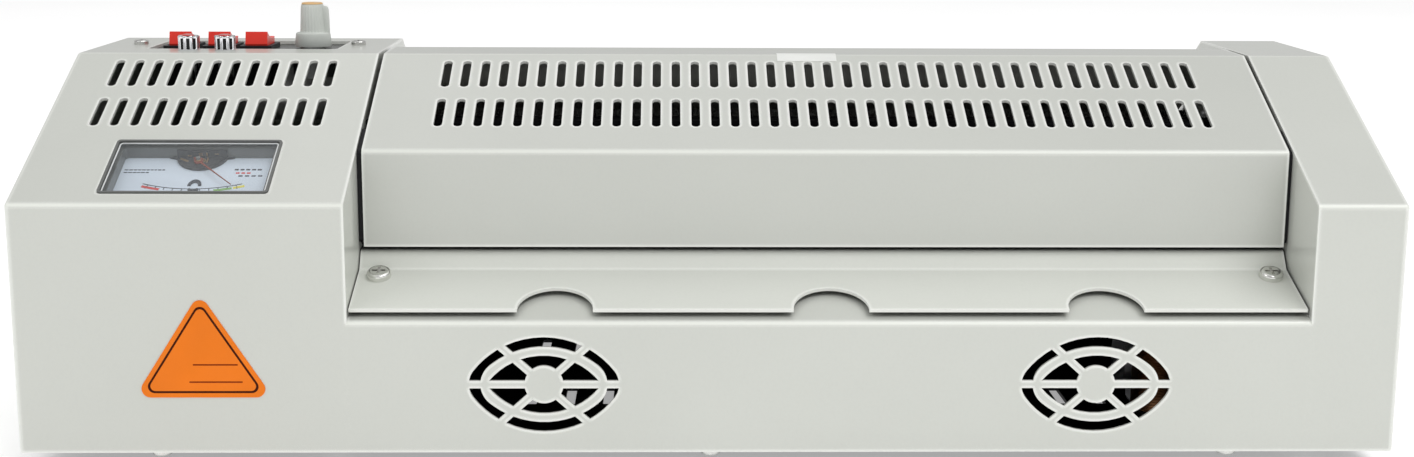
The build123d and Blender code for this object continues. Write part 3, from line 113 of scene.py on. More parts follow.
class Nodes:
    """Small helper that adds and links shader nodes in one material."""

    def __init__(self, name):
        self.material = bpy.data.materials.new(name)
        self.material.use_nodes = True
        self.tree = self.material.node_tree
        self.tree.nodes.clear()
        self.out = self.add("ShaderNodeOutputMaterial")
        self.shader = self.add("ShaderNodeBsdfPrincipled")
        self.link(self.shader.outputs["BSDF"], self.out.inputs["Surface"])
        self.coords = self.add("ShaderNodeTexCoord")

    def add(self, kind, **settings):
        """New node with its settings."""
        node = self.tree.nodes.new(kind)
        for key, value in settings.items():
            setattr(node, key, value)
        return node

    def link(self, a, b):
        """Join an output to an input."""
        self.tree.links.new(a, b)

    def set(self, **sockets):
        """Uniform values, straight on the shader's sockets; underscores stand for spaces."""
        for key, value in sockets.items():
            self.shader.inputs[key.replace("_", " ")].default_value = value

    def noise(self, scale, detail=3.0, rough=0.55, stretch=(1, 1, 1), seed=0.0):
        """Noise over the object's own coordinates."""
        mapping = self.add("ShaderNodeMapping")
        mapping.inputs["Scale"].default_value = stretch
        mapping.inputs["Location"].default_value = (seed, seed * 0.7, -seed)
        self.link(self.coords.outputs["Object"], mapping.inputs["Vector"])
        node = self.add("ShaderNodeTexNoise")
        node.inputs["Scale"].default_value = scale
        node.inputs["Detail"].default_value = detail
        node.inputs["Roughness"].default_value = rough
        self.link(mapping.outputs["Vector"], node.inputs["Vector"])
        return node.outputs["Fac"]

    def ramp(self, source, low, high, start=0.35, end=0.65):
        """Colour that goes from low to high as the source goes from start to end."""
        node = self.add("ShaderNodeValToRGB")
        node.color_ramp.elements[0].position = start
        node.color_ramp.elements[1].position = end
        node.color_ramp.elements[0].color = (*low, 1)
        node.color_ramp.elements[1].color = (*high, 1)
        self.link(source, node.inputs["Fac"])
        return node.outputs["Color"]

    def span(self, source, low, high, start=0.3, end=0.7):
        """Number that goes from low to high as the source goes from start to end."""
        node = self.add("ShaderNodeMapRange")
        node.inputs["From Min"].default_value = start
        node.inputs["From Max"].default_value = end
        node.inputs["To Min"].default_value = low
        node.inputs["To Max"].default_value = high
        self.link(source, node.inputs["Value"])
        return node.outputs["Result"]

    def mix(self, fac, a, b):
        """Blend of two colours or outputs."""
        node = self.add("ShaderNodeMix", data_type="RGBA")
        for value, socket in ((fac, node.inputs[0]), (a, node.inputs[6]), (b, node.inputs[7])):
            if hasattr(value, "is_linked"):
                self.link(value, socket)
            elif isinstance(value, (int, float)):
                socket.default_value = value
            else:
                socket.default_value = (*value, 1)
        return node.outputs[2]

    def bump(self, height, strength, distance, previous=None):
        """Bump from a height, on top of an earlier bump if there is one."""
        node = self.add("ShaderNodeBump")
        node.inputs["Strength"].default_value = strength
        node.inputs["Distance"].default_value = distance
        self.link(height, node.inputs["Height"])
        if previous is not None:
            self.link(previous, node.inputs["Normal"])
        return node.outputs["Normal"]

    def edges(self, radius):
        """Mask that is high along sharp edges."""
        bevel = self.add("ShaderNodeBevel", samples=4)
        bevel.inputs["Radius"].default_value = radius
        flat = self.add("ShaderNodeNewGeometry")
        dot = self.add("ShaderNodeVectorMath", operation="DOT_PRODUCT")
        self.link(bevel.outputs["Normal"], dot.inputs[0])
        self.link(flat.outputs["Normal"], dot.inputs[1])
        turn = self.add("ShaderNodeMath", operation="SUBTRACT")
        turn.inputs[0].default_value = 1.0
        self.link(dot.outputs["Value"], turn.inputs[1])
        return turn.outputs["Value"]

    def folds(self):
        """Mask over the rounded folds, where a painted highlight lightens the enamel."""
        split = self.add("ShaderNodeSeparateXYZ")
        self.link(self.add("ShaderNodeNewGeometry").outputs["Normal"], split.inputs[0])
        rise = self.span(split.outputs["Z"], 0.0, 1.0, 0.10, 0.35)
        fall = self.span(split.outputs["Z"], 0.85, 0.0, 0.62, 0.86)
        both = self.add("ShaderNodeMath", operation="MULTIPLY")
        self.link(rise, both.inputs[0])
        self.link(fall, both.inputs[1])
        return both.outputs["Value"]

    def crevice(self, reach):
        """Openness of the surface: low inside narrow gaps, which take painted shade."""
        node = self.add("ShaderNodeAmbientOcclusion", samples=6)
        node.inputs["Distance"].default_value = reach
        return node.outputs["AO"]

    def finish(self, color=None, rough=None, normal=None):
        """Link the finished outputs to the shader."""
        if color is not None:
            self.link(color, self.shader.inputs["Base Color"])
        if rough is not None:
            self.link(rough, self.shader.inputs["Roughness"])
        if normal is not None:
            self.link(normal, self.shader.inputs["Normal"])
        return self.material


def shade(color, factor):
    """Colour made lighter or darker."""
    return tuple(min(1.0, channel * factor) for channel in color)


# Painted highlight: a near-white tone laid along sharp edges, such as the rims of slots and grilles.
EDGE_HIGHLIGHT_TONE = (0.93, 0.94, 0.90)
EDGE_RADIUS = 0.0018
SPECK_SHADE = 0.72
# Painted highlight: lighter tone over the rounded folds.
FOLD_HIGHLIGHT = 1.42
GAP_REACH = 0.006
GAP_SHADE = 0.09


def enamel(name, color, rough=0.36, grain=0.5, coat=0.45, painted_fold_highlight=True):
    """Stove enamel on sheet steel: faint clouding, fine pebbled texture, a painted highlight along edges and
    folds, and painted shade in narrow gaps.
    """
    m = Nodes(name)
    m.set(Metallic=0.0, Specular_IOR_Level=0.5, Coat_Weight=coat, Coat_Roughness=0.13)
    cloud = m.noise(7.0, 4.0, 0.6)
    tone = m.ramp(cloud, shade(color, 0.975), shade(color, 1.02), 0.3, 0.7)
    speck = m.noise(900.0, 2.0, 0.5, seed=3.1)
    tone = m.mix(m.span(speck, 0.0, 0.06, 0.45, 0.75), tone, shade(color, SPECK_SHADE))
    # Painted highlight along sharp edges.
    edge = m.edges(EDGE_RADIUS)
    tone = m.mix(m.span(edge, 0.0, 0.9, 0.001, 0.02), tone, EDGE_HIGHLIGHT_TONE)
    # Painted highlight along the rounded folds.
    if painted_fold_highlight:
        tone = m.mix(m.folds(), tone, shade(color, FOLD_HIGHLIGHT))
    # Painted shade: much darker tone inside narrow gaps and recesses.
    openness = m.span(m.crevice(GAP_REACH), 0.0, 1.0, 0.06, 0.34)
    tone = m.mix(openness, shade(color, GAP_SHADE), tone)
    smear = m.noise(28.0, 5.0, 0.65, (1, 1, 2.2), 1.7)
    roughness = m.span(smear, rough - 0.05, rough + 0.08, 0.3, 0.7)
    pebble = m.noise(1500.0, 2.0, 0.5, seed=0.4)
    wave = m.noise(160.0, 2.0, 0.5, seed=5.0)
    normal = m.bump(wave, 0.05, 0.0006)
    normal = m.bump(pebble, grain * 0.35, 0.00006, normal)
    return m.finish(tone, roughness, normal)


def metal(name, color, rough=0.3, brushed=(1, 1, 1), scale=300.0, strength=0.12):
    """Bare or plated metal with directional or mottled grain."""
    m = Nodes(name)
    m.set(Metallic=1.0)
    grain = m.noise(scale, 4.0, 0.6, brushed)
    tone = m.ramp(grain, shade(color, 0.86), shade(color, 1.06), 0.3, 0.7)
    stain = m.noise(35.0, 4.0, 0.6, seed=2.0)
    tone = m.mix(m.span(stain, 0.0, 0.25, 0.5, 0.8), tone, shade(color, 0.7))
    roughness = m.span(grain, rough - 0.07, rough + 0.12)
    normal = m.bump(grain, strength, 0.00005)
    return m.finish(tone, roughness, normal)


def plastic(name, color, rough=0.4, grain=0.3, scale=1800.0, coat=0.0, gloss=0.5):
    """Moulded plastic with fine grain and slight flow marks."""
    m = Nodes(name)
    m.set(Coat_Weight=coat, Coat_Roughness=0.08, Specular_IOR_Level=gloss)
    flow = m.noise(40.0, 3.0, 0.5, (1, 2.5, 1))
    tone = m.ramp(flow, shade(color, 0.93), shade(color, 1.05), 0.3, 0.7)
    roughness = m.span(m.noise(90.0, 4.0, 0.6, seed=4.0), rough - 0.05, rough + 0.08)
    normal = m.bump(m.noise(scale, 2.0, 0.5, seed=1.0), grain * 0.3, 0.00005)
    return m.finish(tone, roughness, normal)


def pane(name, color, alpha):
    """Clear moulded pane with faint haze and fine wipe marks."""
    m = Nodes(name)
    m.set(Alpha=alpha, Specular_IOR_Level=0.8, Coat_Weight=1.0, Coat_Roughness=0.03)
    haze = m.noise(60.0, 4.0, 0.6, (1, 3, 1))
    tone = m.ramp(haze, shade(color, 0.9), color)
    rough = m.span(m.noise(200.0, 3.0, 0.6, (1, 8, 1)), 0.03, 0.09)
    return m.finish(tone, rough)


PAINT = (0.600, 0.615, 0.570)
# Painted light: the feed tray takes a lighter copy of the shell paint.
TRAY_LIGHTER = 1.17
# Partly a darker paint and partly painted shade: the cover takes a darker copy of the shell paint.
COVER_DARKER = 0.94
TRAY_LIT_PAINT = shade(PAINT, TRAY_LIGHTER)
COVER_PAINT_AND_SHADE = shade(PAINT, COVER_DARKER)
# One material for each slot of the record.
MATERIALS = {
    "shell_paint": enamel("shell_paint", PAINT),
    "plain_steel": metal("plain_steel", (0.55, 0.56, 0.56), 0.38, (1, 6, 6)),
    "shaft_steel": metal("shaft_steel", (0.62, 0.62, 0.63), 0.22, (12, 1, 1), 500.0),
    "screw_steel": metal("screw_steel", (0.66, 0.66, 0.64), 0.24),
    "spring_steel": metal("spring_steel", (0.35, 0.36, 0.37), 0.35),
    "chrome": metal("chrome", (0.82, 0.83, 0.85), 0.08, scale=120.0, strength=0.02),
    "black_rubber": plastic("black_rubber", (0.02, 0.02, 0.02), 0.75, 0.6, 900.0),
    "silicone": plastic("silicone", (0.06, 0.018, 0.013), 0.5, 0.3, 700.0),
    "aluminium": metal("aluminium", (0.72, 0.73, 0.75), 0.35, (1, 10, 10)),
    "bronze": metal("bronze", (0.45, 0.30, 0.14), 0.45, scale=900.0, strength=0.3),
    "copper": metal("copper", (0.17, 0.085, 0.042), 0.36, (1, 30, 1), 120.0, 0.5),
    "lamination": metal("lamination", (0.30, 0.31, 0.33), 0.42, (60, 1, 1), 60.0, 0.5),
    "black_gloss": plastic("black_gloss", (0.010, 0.012, 0.012), 0.22, 0.1, gloss=0.18),
    "black_matte": plastic("black_matte", (0.018, 0.018, 0.020), 0.42, 0.5, gloss=0.25),
    "red_rocker": plastic("red_rocker", (0.92, 0.045, 0.028), 0.3, 0.15, coat=0.12, gloss=0.3),
    "lamp_red": plastic("lamp_red", (0.50, 0.02, 0.012), 0.14, 0.05, coat=0.8),
    "grey_plastic": plastic("grey_plastic", (0.66, 0.69, 0.65), 0.42, 0.4),
    "gear_plastic": plastic("gear_plastic", (0.72, 0.70, 0.62), 0.45, 0.3),
    "meter_plastic": plastic("meter_plastic", (0.115, 0.12, 0.115), 0.34, 0.2, coat=0.1),
    "dial_card": plastic("dial_card", (0.63, 0.71, 0.80), 0.50, 0.1),
    "clear_pane": pane("clear_pane", (0.80, 0.86, 0.90), 0.07),
    "needle_red": plastic("needle_red", (0.55, 0.02, 0.015), 0.35, 0.1),
    "board_green": plastic("board_green", (0.03, 0.14, 0.05), 0.3, 0.2, 500.0),
    "orange_label": plastic("orange_label", (0.84, 0.19, 0.004), 0.5, 0.1, gloss=0.25),
}
# Finishes that differ from their slot's own: name, then the slot and the material.
FINISHES = {
    # Darker copy of the shell paint for the cover, partly paint and partly painted shade.
    "cover_paint_and_shade": ("shell_paint", enamel("cover_paint_and_shade", COVER_PAINT_AND_SHADE)),
    # Painted light: lighter copy of the shell paint for the feed tray.
    "tray_lit_paint": ("shell_paint", enamel("tray_lit_paint", TRAY_LIT_PAINT, 0.6, coat=0.0, painted_fold_highlight=False)),
    "print_black": ("dial_card", plastic("print_black", (0.035, 0.038, 0.050), 0.6, 0.1, gloss=0.1)),
    "print_red": ("dial_card", plastic("print_red", (0.60, 0.03, 0.02), 0.55, 0.1)),
    "print_yellow": ("dial_card", plastic("print_yellow", (0.75, 0.68, 0.06), 0.55, 0.1)),
    "print_green": ("dial_card", plastic("print_green", (0.20, 0.42, 0.10), 0.55, 0.1)),
    "print_brown": ("orange_label", plastic("print_brown", (0.055, 0.010, 0.003), 0.6, 0.1, gloss=0.08)),
    "print_rust": ("orange_label", plastic("print_rust", (0.24, 0.035, 0.004), 0.6, 0.1, gloss=0.08)),
    "label_white": ("orange_label", plastic("label_white", (0.82, 0.83, 0.80), 0.45, 0.1)),
    "meter_dark": ("meter_plastic", plastic("meter_dark", (0.018, 0.018, 0.021), 0.35, 0.3, gloss=0.25)),
    "meter_white": ("meter_plastic", plastic("meter_white", (0.78, 0.80, 0.80), 0.3, 0.1, coat=0.3)),
    "knob_amber": ("grey_plastic", plastic("knob_amber", (0.80, 0.50, 0.22), 0.4, 0.2)),
    "knob_white": ("grey_plastic", plastic("knob_white", (0.80, 0.78, 0.72), 0.4, 0.2)),
    # Painted shade: near-black copies of aluminium and plain steel, so the inner parts read dark through the
    # openings.
    "aluminium_painted_shade": ("aluminium", metal("aluminium_painted_shade", (0.016, 0.016, 0.018), 0.5)),
    "steel_painted_shade": ("plain_steel", metal("steel_painted_shade", (0.03, 0.03, 0.032), 0.5, (1, 6, 6))),
    "bright_steel": ("screw_steel", metal("bright_steel", (0.80, 0.80, 0.77), 0.15, strength=0.05)),
}
# CAD nodes that take a finish in place of their slot's material.
OWN_FINISH = {
    "tray_screws": "bright_steel",
    "cover": "cover_paint_and_shade",
    "feed_tray": "tray_lit_paint",
    # Painted shade: the inner heater shoes, bars, guide plates, frames and base plate take near-black
    # finishes.
    "heater_shoes": "aluminium_painted_shade",
    "front_bar": "steel_painted_shade",
    "rear_bar": "steel_painted_shade",
    "guide_plates": "steel_painted_shade",
    "frame_left": "steel_painted_shade",
    "frame_right": "steel_painted_shade",
    "base_plate": "steel_painted_shade",
}


def dress_frame():
    """Every CAD node takes its slot's material, or its own finish where it has one."""
    slots = {row["node"]: row["material_slot"] for row in frame["record"]["subparts"]}
    for name, node in NODES.items():
        material = MATERIALS[slots[name]]
        if name in OWN_FINISH:
            material = FINISHES[OWN_FINISH[name]][1]
        for place in node.material_slots:
            place.material = material


dress_frame()

# ---------------------------------------------------------------- mesh helpers

SEAM = 0.0005
SHARP_ANGLE = math.radians(32)


def add_piece(name, maker, body, slot, place):
    """Turn a bmesh in millimetres into a piece that rides on a body; slot names a material or a finish."""
    bmesh.ops.remove_doubles(maker, verts=maker.verts, dist=SEAM)
    bmesh.ops.recalc_face_normals(maker, faces=maker.faces)
    mesh = bpy.data.meshes.new(name)
    maker.transform(place @ Matrix.Scale(MM, 4))
    maker.to_mesh(mesh)
    maker.free()
    piece = bpy.data.objects.new(name, mesh)
    bpy.context.scene.collection.objects.link(piece)
    record_slot, material = FINISHES[slot] if slot in FINISHES else (slot, MATERIALS[slot])
    mesh.materials.append(material)
    mesh.polygons.foreach_set("use_smooth", [True] * len(mesh.polygons))
    mesh.set_sharp_from_angle(angle=SHARP_ANGLE)
    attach(piece, body)
    return piece


def prism(maker, outline, low, high):
    """Closed plate between two heights over an outline of (x, y) points."""
    bottom = [maker.verts.new((x, y, low)) for x, y in outline]
    top = [maker.verts.new((x, y, high)) for x, y in outline]
    maker.faces.new(list(reversed(bottom)))
    maker.faces.new(top)
    count = len(outline)
    for i in range(count):
        j = (i + 1) % count
        maker.faces.new((bottom[i], bottom[j], top[j], top[i]))


def ring_prism(maker, outer, inner, low, high):
    """Closed frame between an outer and an inner outline with the same number of points."""
    rows = [[maker.verts.new((x, y, z)) for x, y in line]
            for line, z in ((outer, low), (outer, high), (inner, high), (inner, low))]
    loft_rows(maker, rows, True)


def loft_rows(maker, rows, around=False):
    """Skin rows of vertices, each row a closed loop; around joins the last row to the first."""
    count = len(rows[0])
    pairs = list(zip(rows, rows[1:]))
    if around:
        pairs.append((rows[-1], rows[0]))
    for a, b in pairs:
        for i in range(count):
            j = (i + 1) % count
            maker.faces.new((a[i], a[j], b[j], b[i]))


def circle(x, y, radius, count=48, start=0.0, turn=360.0):
    """Points round a circle or along an arc."""
    steps = count if turn >= 360.0 else count - 1
    angles = [math.radians(start + turn * i / steps) for i in range(count)]
    return [(x + radius * math.cos(a), y + radius * math.sin(a)) for a in angles]


def band(x, y, inner, outer, start, turn, count=24):
    """Outline of a piece of a ring."""
    far = circle(x, y, outer, count, start, turn)
    near = circle(x, y, inner, count, start, turn)
    return far + near[::-1]


def rounded(corners, radius, count=7):
    """Polygon with its corners rounded."""
    result = []
    total = len(corners)
    for i, corner in enumerate(corners):
        here = Vector(corner)
        before = (Vector(corners[i - 1]) - here).normalized()
        after = (Vector(corners[(i + 1) % total]) - here).normalized()
        half = math.acos(max(-1.0, min(1.0, before.dot(after)))) / 2
        middle = here + (before + after).normalized() * (radius / math.sin(half))
        start = here + before * (radius / math.tan(half)) - middle
        end = here + after * (radius / math.tan(half)) - middle
        sweep = math.atan2(start.x * end.y - start.y * end.x, start.dot(end))
        for k in range(count):
            a = sweep * k / (count - 1)
            x = start.x * math.cos(a) - start.y * math.sin(a)
            y = start.x * math.sin(a) + start.y * math.cos(a)
            result.append((middle.x + x, middle.y + y))
    return result


def box_outline(x0, x1, y0, y1, radius):
    """Rectangle with rounded corners."""
    return rounded([(x0, y0), (x1, y0), (x1, y1), (x0, y1)], radius)


def turned(maker, profile, count=64, wave=None):
    """Closed solid of revolution about Z; wave(angle, index) changes the radius."""
    rows = []
    for index, (radius, height) in enumerate(profile):
        row = []
        for i in range(count):
            angle = 2 * math.pi * i / count
            reach = radius + (wave(angle, index) if wave else 0.0)
            row.append(maker.verts.new((reach * math.cos(angle), reach * math.sin(angle), height)))
        rows.append(row)
    loft_rows(maker, rows)
    maker.faces.new(list(reversed(rows[0])))
    maker.faces.new(rows[-1])


def merge(target, source):
    """Add one bmesh to another."""
    mesh = bpy.data.meshes.new("join")
    source.to_mesh(mesh)
    source.free()
    target.from_mesh(mesh)
    bpy.data.meshes.remove(mesh)


# ---------------------------------------------------------------- meter, in millimetres

METER_X = -188.7
METER_UP = 23.6
DIAL = -6.0
SCALE_PIVOT = 46.0
SCALE_RADIUS = 51.5
SCALE_START = -108.0
SCALE_STEP = 3.6
INK = (0.0, 0.06)
PRINT_LEFT = -26.6
NEEDLE_UP = 10.0
NEEDLE_PARK = math.radians(44.0)
LIP_HALF_WIDE = 29.2
LIP_HALF_TALL = 15.75
LIP_THICK = 0.45


def dashes(maker, start, pitch, wide, y0, y1, count):
    """Row of plain dashes where the meter has print."""
    for i in range(count):
        x = start + pitch * i
        prism(maker, box_outline(x, x + wide, y0, y1, 0.15), *INK)


def scale_zone(start, turn):
    """Piece of the ring of coloured zones beyond the scale's arc."""
    maker = bmesh.new()
    prism(maker, band(0, SCALE_PIVOT, SCALE_RADIUS + 0.9, SCALE_RADIUS + 2.2, start, turn), *INK)
    return maker


def build_meter_print():
    """Generic ticks, arc, dashes, arch mark and coloured zones on the meter's dial."""
    place = slope_matrix(METER_X, METER_UP, DIAL)
    ink = bmesh.new()
    prism(ink, band(0, SCALE_PIVOT, SCALE_RADIUS - 0.2, SCALE_RADIUS + 0.2, -110.5, 41.0), *INK)
    half = 0.16
    for step in range(11):
        angle = SCALE_START + SCALE_STEP * step
        tall = 2.4 if step % 5 == 0 else 1.4
        tick = band(0, SCALE_PIVOT, SCALE_RADIUS, SCALE_RADIUS + tall, angle - half, 2 * half, 3)
        prism(ink, tick, *INK)
    for row, width in enumerate((15.0, 9.0)):
        x = PRINT_LEFT
        while x < PRINT_LEFT + width:
            step = 0.9 + 0.5 * ((x * 7.3) % 1.0)
            prism(ink, box_outline(x, x + step, 6.3 - 1.7 * row, 6.9 - 1.7 * row, 0.1), *INK)
            x += step + 0.35
    dashes(ink, 13.6, 2.1, 1.5, 6.4, 7.3, 5)
    dashes(ink, 15.6, 2.4, 1.6, 2.4, 3.2, 4)
    for start, turn, inner, outer in ((2.0, 176.0, 1.35, 2.5), (216.0, 108.0, 1.6, 2.5)):
        arch = [(x, -3.8 + 1.55 * y) for x, y in band(0.9, 0.0, inner, outer, start, turn, 30)]
        prism(ink, arch, INK[0], INK[1] + 0.3)
    add_piece("meter_print", ink, "housing", "print_black", place)
    red = scale_zone(-110.0, 7.5)
    dashes(red, 14.4, 2.0, 1.4, 4.2, 5.1, 3)
    add_piece("meter_zone_red", red, "housing", "print_red", place)
    add_piece("meter_zone_yellow", scale_zone(-73.5, 4.5), "housing", "print_yellow", place)
    add_piece("meter_zone_green", scale_zone(-81.0, 7.0), "housing", "print_green", place)


def build_meter_works():
    """Dark half-round cover over the needle's pivot, the magnet behind it, and small brass glints."""
    place = slope_matrix(METER_X, METER_UP, DIAL)
    cover = bmesh.new()
    outline = [(-11.5, 13.9)] + circle(0.5, 15.6, 9.6, 30, 195.0, 150.0) + [(12.5, 13.9)]
    prism(cover, outline, 0.0, 0.9)
    inset = [(-9.9, 13.7)] + circle(0.5, 15.4, 8.2, 30, 197.0, 146.0) + [(10.9, 13.7)]
    prism(cover, inset, 0.85, 1.1)
    add_piece("meter_shroud", cover, "housing", "meter_dark", place)
    magnet = bmesh.new()
    prism(magnet, box_outline(-8.6, 10.2, 13.4, 14.25, 0.3), 0.05, 3.9)
    add_piece("meter_magnet", magnet, "housing", "meter_dark", place)
    glint = bmesh.new()
    chips = ((-4.6, -3.2, 1.5, 2.1), (-0.6, 0.9, 1.7, 2.9), (2.2, 2.8, 1.3, 3.1), (5.4, 6.9, 2.3, 2.8))
    for x0, x1, z0, z1 in chips:
        prism(glint, box_outline(x0, x1, 13.2, 13.42, 0.08), z0, z1)
    prism(glint, circle(0.9, 11.2, 1.5, 28), 1.05, 1.2)
    prism(glint, box_outline(-1.2, -0.5, 9.6, 13.0, 0.2), 1.05, 1.2)
    prism(glint, box_outline(2.6, 3.2, 9.8, 13.0, 0.2), 1.05, 1.2)
    prism(glint, rounded([(-7.5, 12.0), (-4.2, 10.2), (-3.8, 11.0), (-6.9, 12.9)], 0.2), 1.05, 1.2)
    add_piece("meter_spring", glint, "housing", "bronze", place)


def build_needle():
    """Fine pointer with a small round hub and a brass screw."""
    place = slope_matrix(METER_X, METER_UP + NEEDLE_UP, 0.0)
    blade = bmesh.new()
    outline = [(-0.40, 2.8), (0.40, 2.8), (0.20, -8.0), (0.09, -20.9), (-0.09, -20.9), (-0.20, -8.0)]
    prism(blade, outline, -4.4, -4.0)
    prism(blade, circle(0, 0, 1.7, 32), -4.55, -3.85)
    blade.transform(Matrix.Rotation(NEEDLE_PARK, 4, "Z"))
    needle = add_piece("meter_pointer", blade, "needle", "print_rust", place)
    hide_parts("meter_needle")
    screw = bmesh.new()
    turned(screw, [(0.95, -3.9), (1.0, -3.7), (0.8, -3.45), (0.3, -3.4)], 32)
    add_piece("meter_pointer_screw", screw, "needle", "bronze", place)


def build_meter_line():
    """Thin pale lip just inside the meter's rim."""
    place = slope_matrix(METER_X, METER_UP, 0.0)
    lip = bmesh.new()
    wide, tall = LIP_HALF_WIDE, LIP_HALF_TALL
    outer = box_outline(-wide, wide, -tall, tall, 1.2)
    inner = box_outline(-wide + LIP_THICK, wide - LIP_THICK, -tall + LIP_THICK, tall - LIP_THICK, 0.8)
    ring_prism(lip, outer, inner, -0.38, -0.1)
    add_piece("meter_lip", lip, "housing", "meter_white", place)


# ---------------------------------------------------------------- controls, in millimetres

CONTROL_TOP = 135.85
KNOB_X, KNOB_DEPTH = -163.4, 130.0
LAMPS = (-208.7, -194.1)
LAMP_DEPTH = 104.5
KNOB_FLUTES = 24
LAMP_FLUTES = 9


def level_matrix(x, depth, height):
    """Place with its axes along the frame's, at a point given as at() takes it."""
    return Matrix.Translation(at(x, depth, height))


def build_knob():
    """Fluted knob with a stepped skirt, a pointer ridge and an amber ring round its cap."""
    def wave(angle, index):
        if not 7 <= index <= 12:
            return 0.0
        return -0.16 * (0.5 + 0.5 * math.cos(KNOB_FLUTES * angle)) ** 2

    profile = [(5.7, -0.5), (7.35, -0.5), (7.5, -0.2), (7.1, 4.2), (6.9, 4.9), (6.55, 5.2), (5.5, 5.3),
               (5.25, 5.6), (5.22, 6.2), (5.0, 10.0), (4.8, 14.0), (4.72, 15.2), (4.65, 16.1),
               (4.45, 16.75), (4.05, 17.05), (3.6, 17.15), (2.0, 17.0), (0.4, 16.95)]
    knob = bmesh.new()
    turned(knob, profile, 192, wave)
    place = level_matrix(KNOB_X, KNOB_DEPTH, CONTROL_TOP)
    cap = add_piece("knob_grip", knob, "knob_and_shaft", "grey_plastic", place)
    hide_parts("knob")
    ridge = bmesh.new()
    levels = ((4.9, 6.9), (10.0, 6.85), (14.6, 6.7), (15.8, 6.2), (16.2, 5.4))
    rows = []
    for height, reach in levels:
        outline = box_outline(3.9, reach, -1.2, 1.2, 0.55)
        rows.append([ridge.verts.new((x, y, height)) for x, y in outline])
    loft_rows(ridge, rows)
    ridge.faces.new(list(reversed(rows[0])))
    ridge.faces.new(rows[-1])
    add_piece("knob_pointer", ridge, "knob_and_shaft", "grey_plastic", place)
    ring = bmesh.new()
    turned(ring, [(3.3, 17.0), (4.35, 17.0), (4.3, 17.3), (4.1, 17.5), (3.7, 17.58), (3.3, 17.5)], 96)
    add_piece("knob_cap", ring, "knob_and_shaft", "knob_amber", place)
    mark = bmesh.new()
    prism(mark, box_outline(0.8, 3.1, -0.35, 0.35, 0.15), 17.4, 17.58)
    add_piece("knob_mark", mark, "knob_and_shaft", "knob_white", place)


def lamp_pair(profile, count, wave=None):
    """The same turned solid at each lamp."""
    both = bmesh.new()
    for x in LAMPS:
        part = bmesh.new()
        turned(part, profile, count, wave)
        part.transform(Matrix.Translation((x, 0, 0)))
        merge(both, part)
    return both


def build_lamps():
    """Chrome lamp collars with deep vertical flutes, and black cores that show between them as dark stripes,
    a painted reflection of dark surroundings.
    """
    def wave(angle, index):
        if not 10 <= index <= 13:
            return 0.0
        return -0.82 * (0.5 + 0.5 * math.cos(LAMP_FLUTES * angle)) ** 1.2

    profile = [(3.2, -16.0), (3.25, -15.8), (3.25, -3.75), (5.2, -3.7), (5.25, -1.25), (3.3, -1.2),
               (3.3, 0.0), (4.2, 0.0), (4.24, 0.35), (4.24, 0.6), (4.2, 0.8), (4.2, 4.9), (4.22, 5.2),
               (4.2, 5.6), (3.95, 5.95), (3.4, 5.97), (3.0, 5.7), (2.95, 5.2)]
    core = [(3.5, 0.7), (3.86, 0.8), (3.86, 4.9), (3.5, 5.0)]
    place = level_matrix(0.0, LAMP_DEPTH, CONTROL_TOP)
    # Painted reflection: black gloss cores show through the flutes as dark stripes.
    add_piece("lamp_reflection_cores", lamp_pair(core, 72), "housing", "black_gloss", place)
    lamps = add_piece("lamp_collars", lamp_pair(profile, 144, wave), "housing", "chrome", place)
    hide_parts("lamp_bezels")


# ---------------------------------------------------------------- labels, in millimetres

LABEL = ((-182.65, 59.3), (-207.45, 20.75), (-157.85, 20.75))
COVER_LABEL_START = 98.3
COVER_LABEL_FLAT = 3.4
COVER_LABEL_X = (27.6, 51.2)
COVER_LABEL_THICK = 0.18
FOLD_TANGENT = 0.45


def inward(corners, gap):
    """Triangle moved in by a gap on every side."""
    a, b, c = (Vector(corner) for corner in corners)
    sides = ((b - c).length, (c - a).length, (a - b).length)
    middle = (a * sides[0] + b * sides[1] + c * sides[2]) / sum(sides)
    inradius = abs(middle.y - b.y)
    return [tuple(middle + (corner - middle) * (inradius - gap) / inradius) for corner in (a, b, c)]


def front_matrix():
    """Place on the front wall: x across, y up, z forwards out of the wall."""
    turn = Matrix(((1, 0, 0), (0, 0, -1), (0, 1, 0)))
    return Matrix.Translation(Vector((0, FRONT_Y, BOTTOM_Z))) @ turn.to_4x4()


def build_labels():
    """Orange triangle with a plain dark border and two plain rules, and the blank label on the cover."""
    place = front_matrix()
    base = bmesh.new()
    prism(base, rounded(LABEL, 3.2, 12), 0.0, 0.24)
    sticker = add_piece("triangle_sticker", base, "housing", "orange_label", place)
    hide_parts("front_label")
    line = bmesh.new()
    outer = rounded(inward(LABEL, 1.65), 2.4, 12)
    inner = rounded(inward(LABEL, 2.4), 1.8, 12)
    ring_prism(line, outer, inner, 0.22, 0.29)
    add_piece("triangle_line", line, "housing", "print_brown", place)
    rules = bmesh.new()
    for x0, x1, y in ((-186.0, -170.0, 32.6), (-187.5, -168.5, 26.2)):
        prism(rules, box_outline(x0, x1, y, y + 0.55, 0.1), 0.22, 0.28)
    add_piece("triangle_rules", rules, "housing", "print_rust", place)
    build_cover_label()


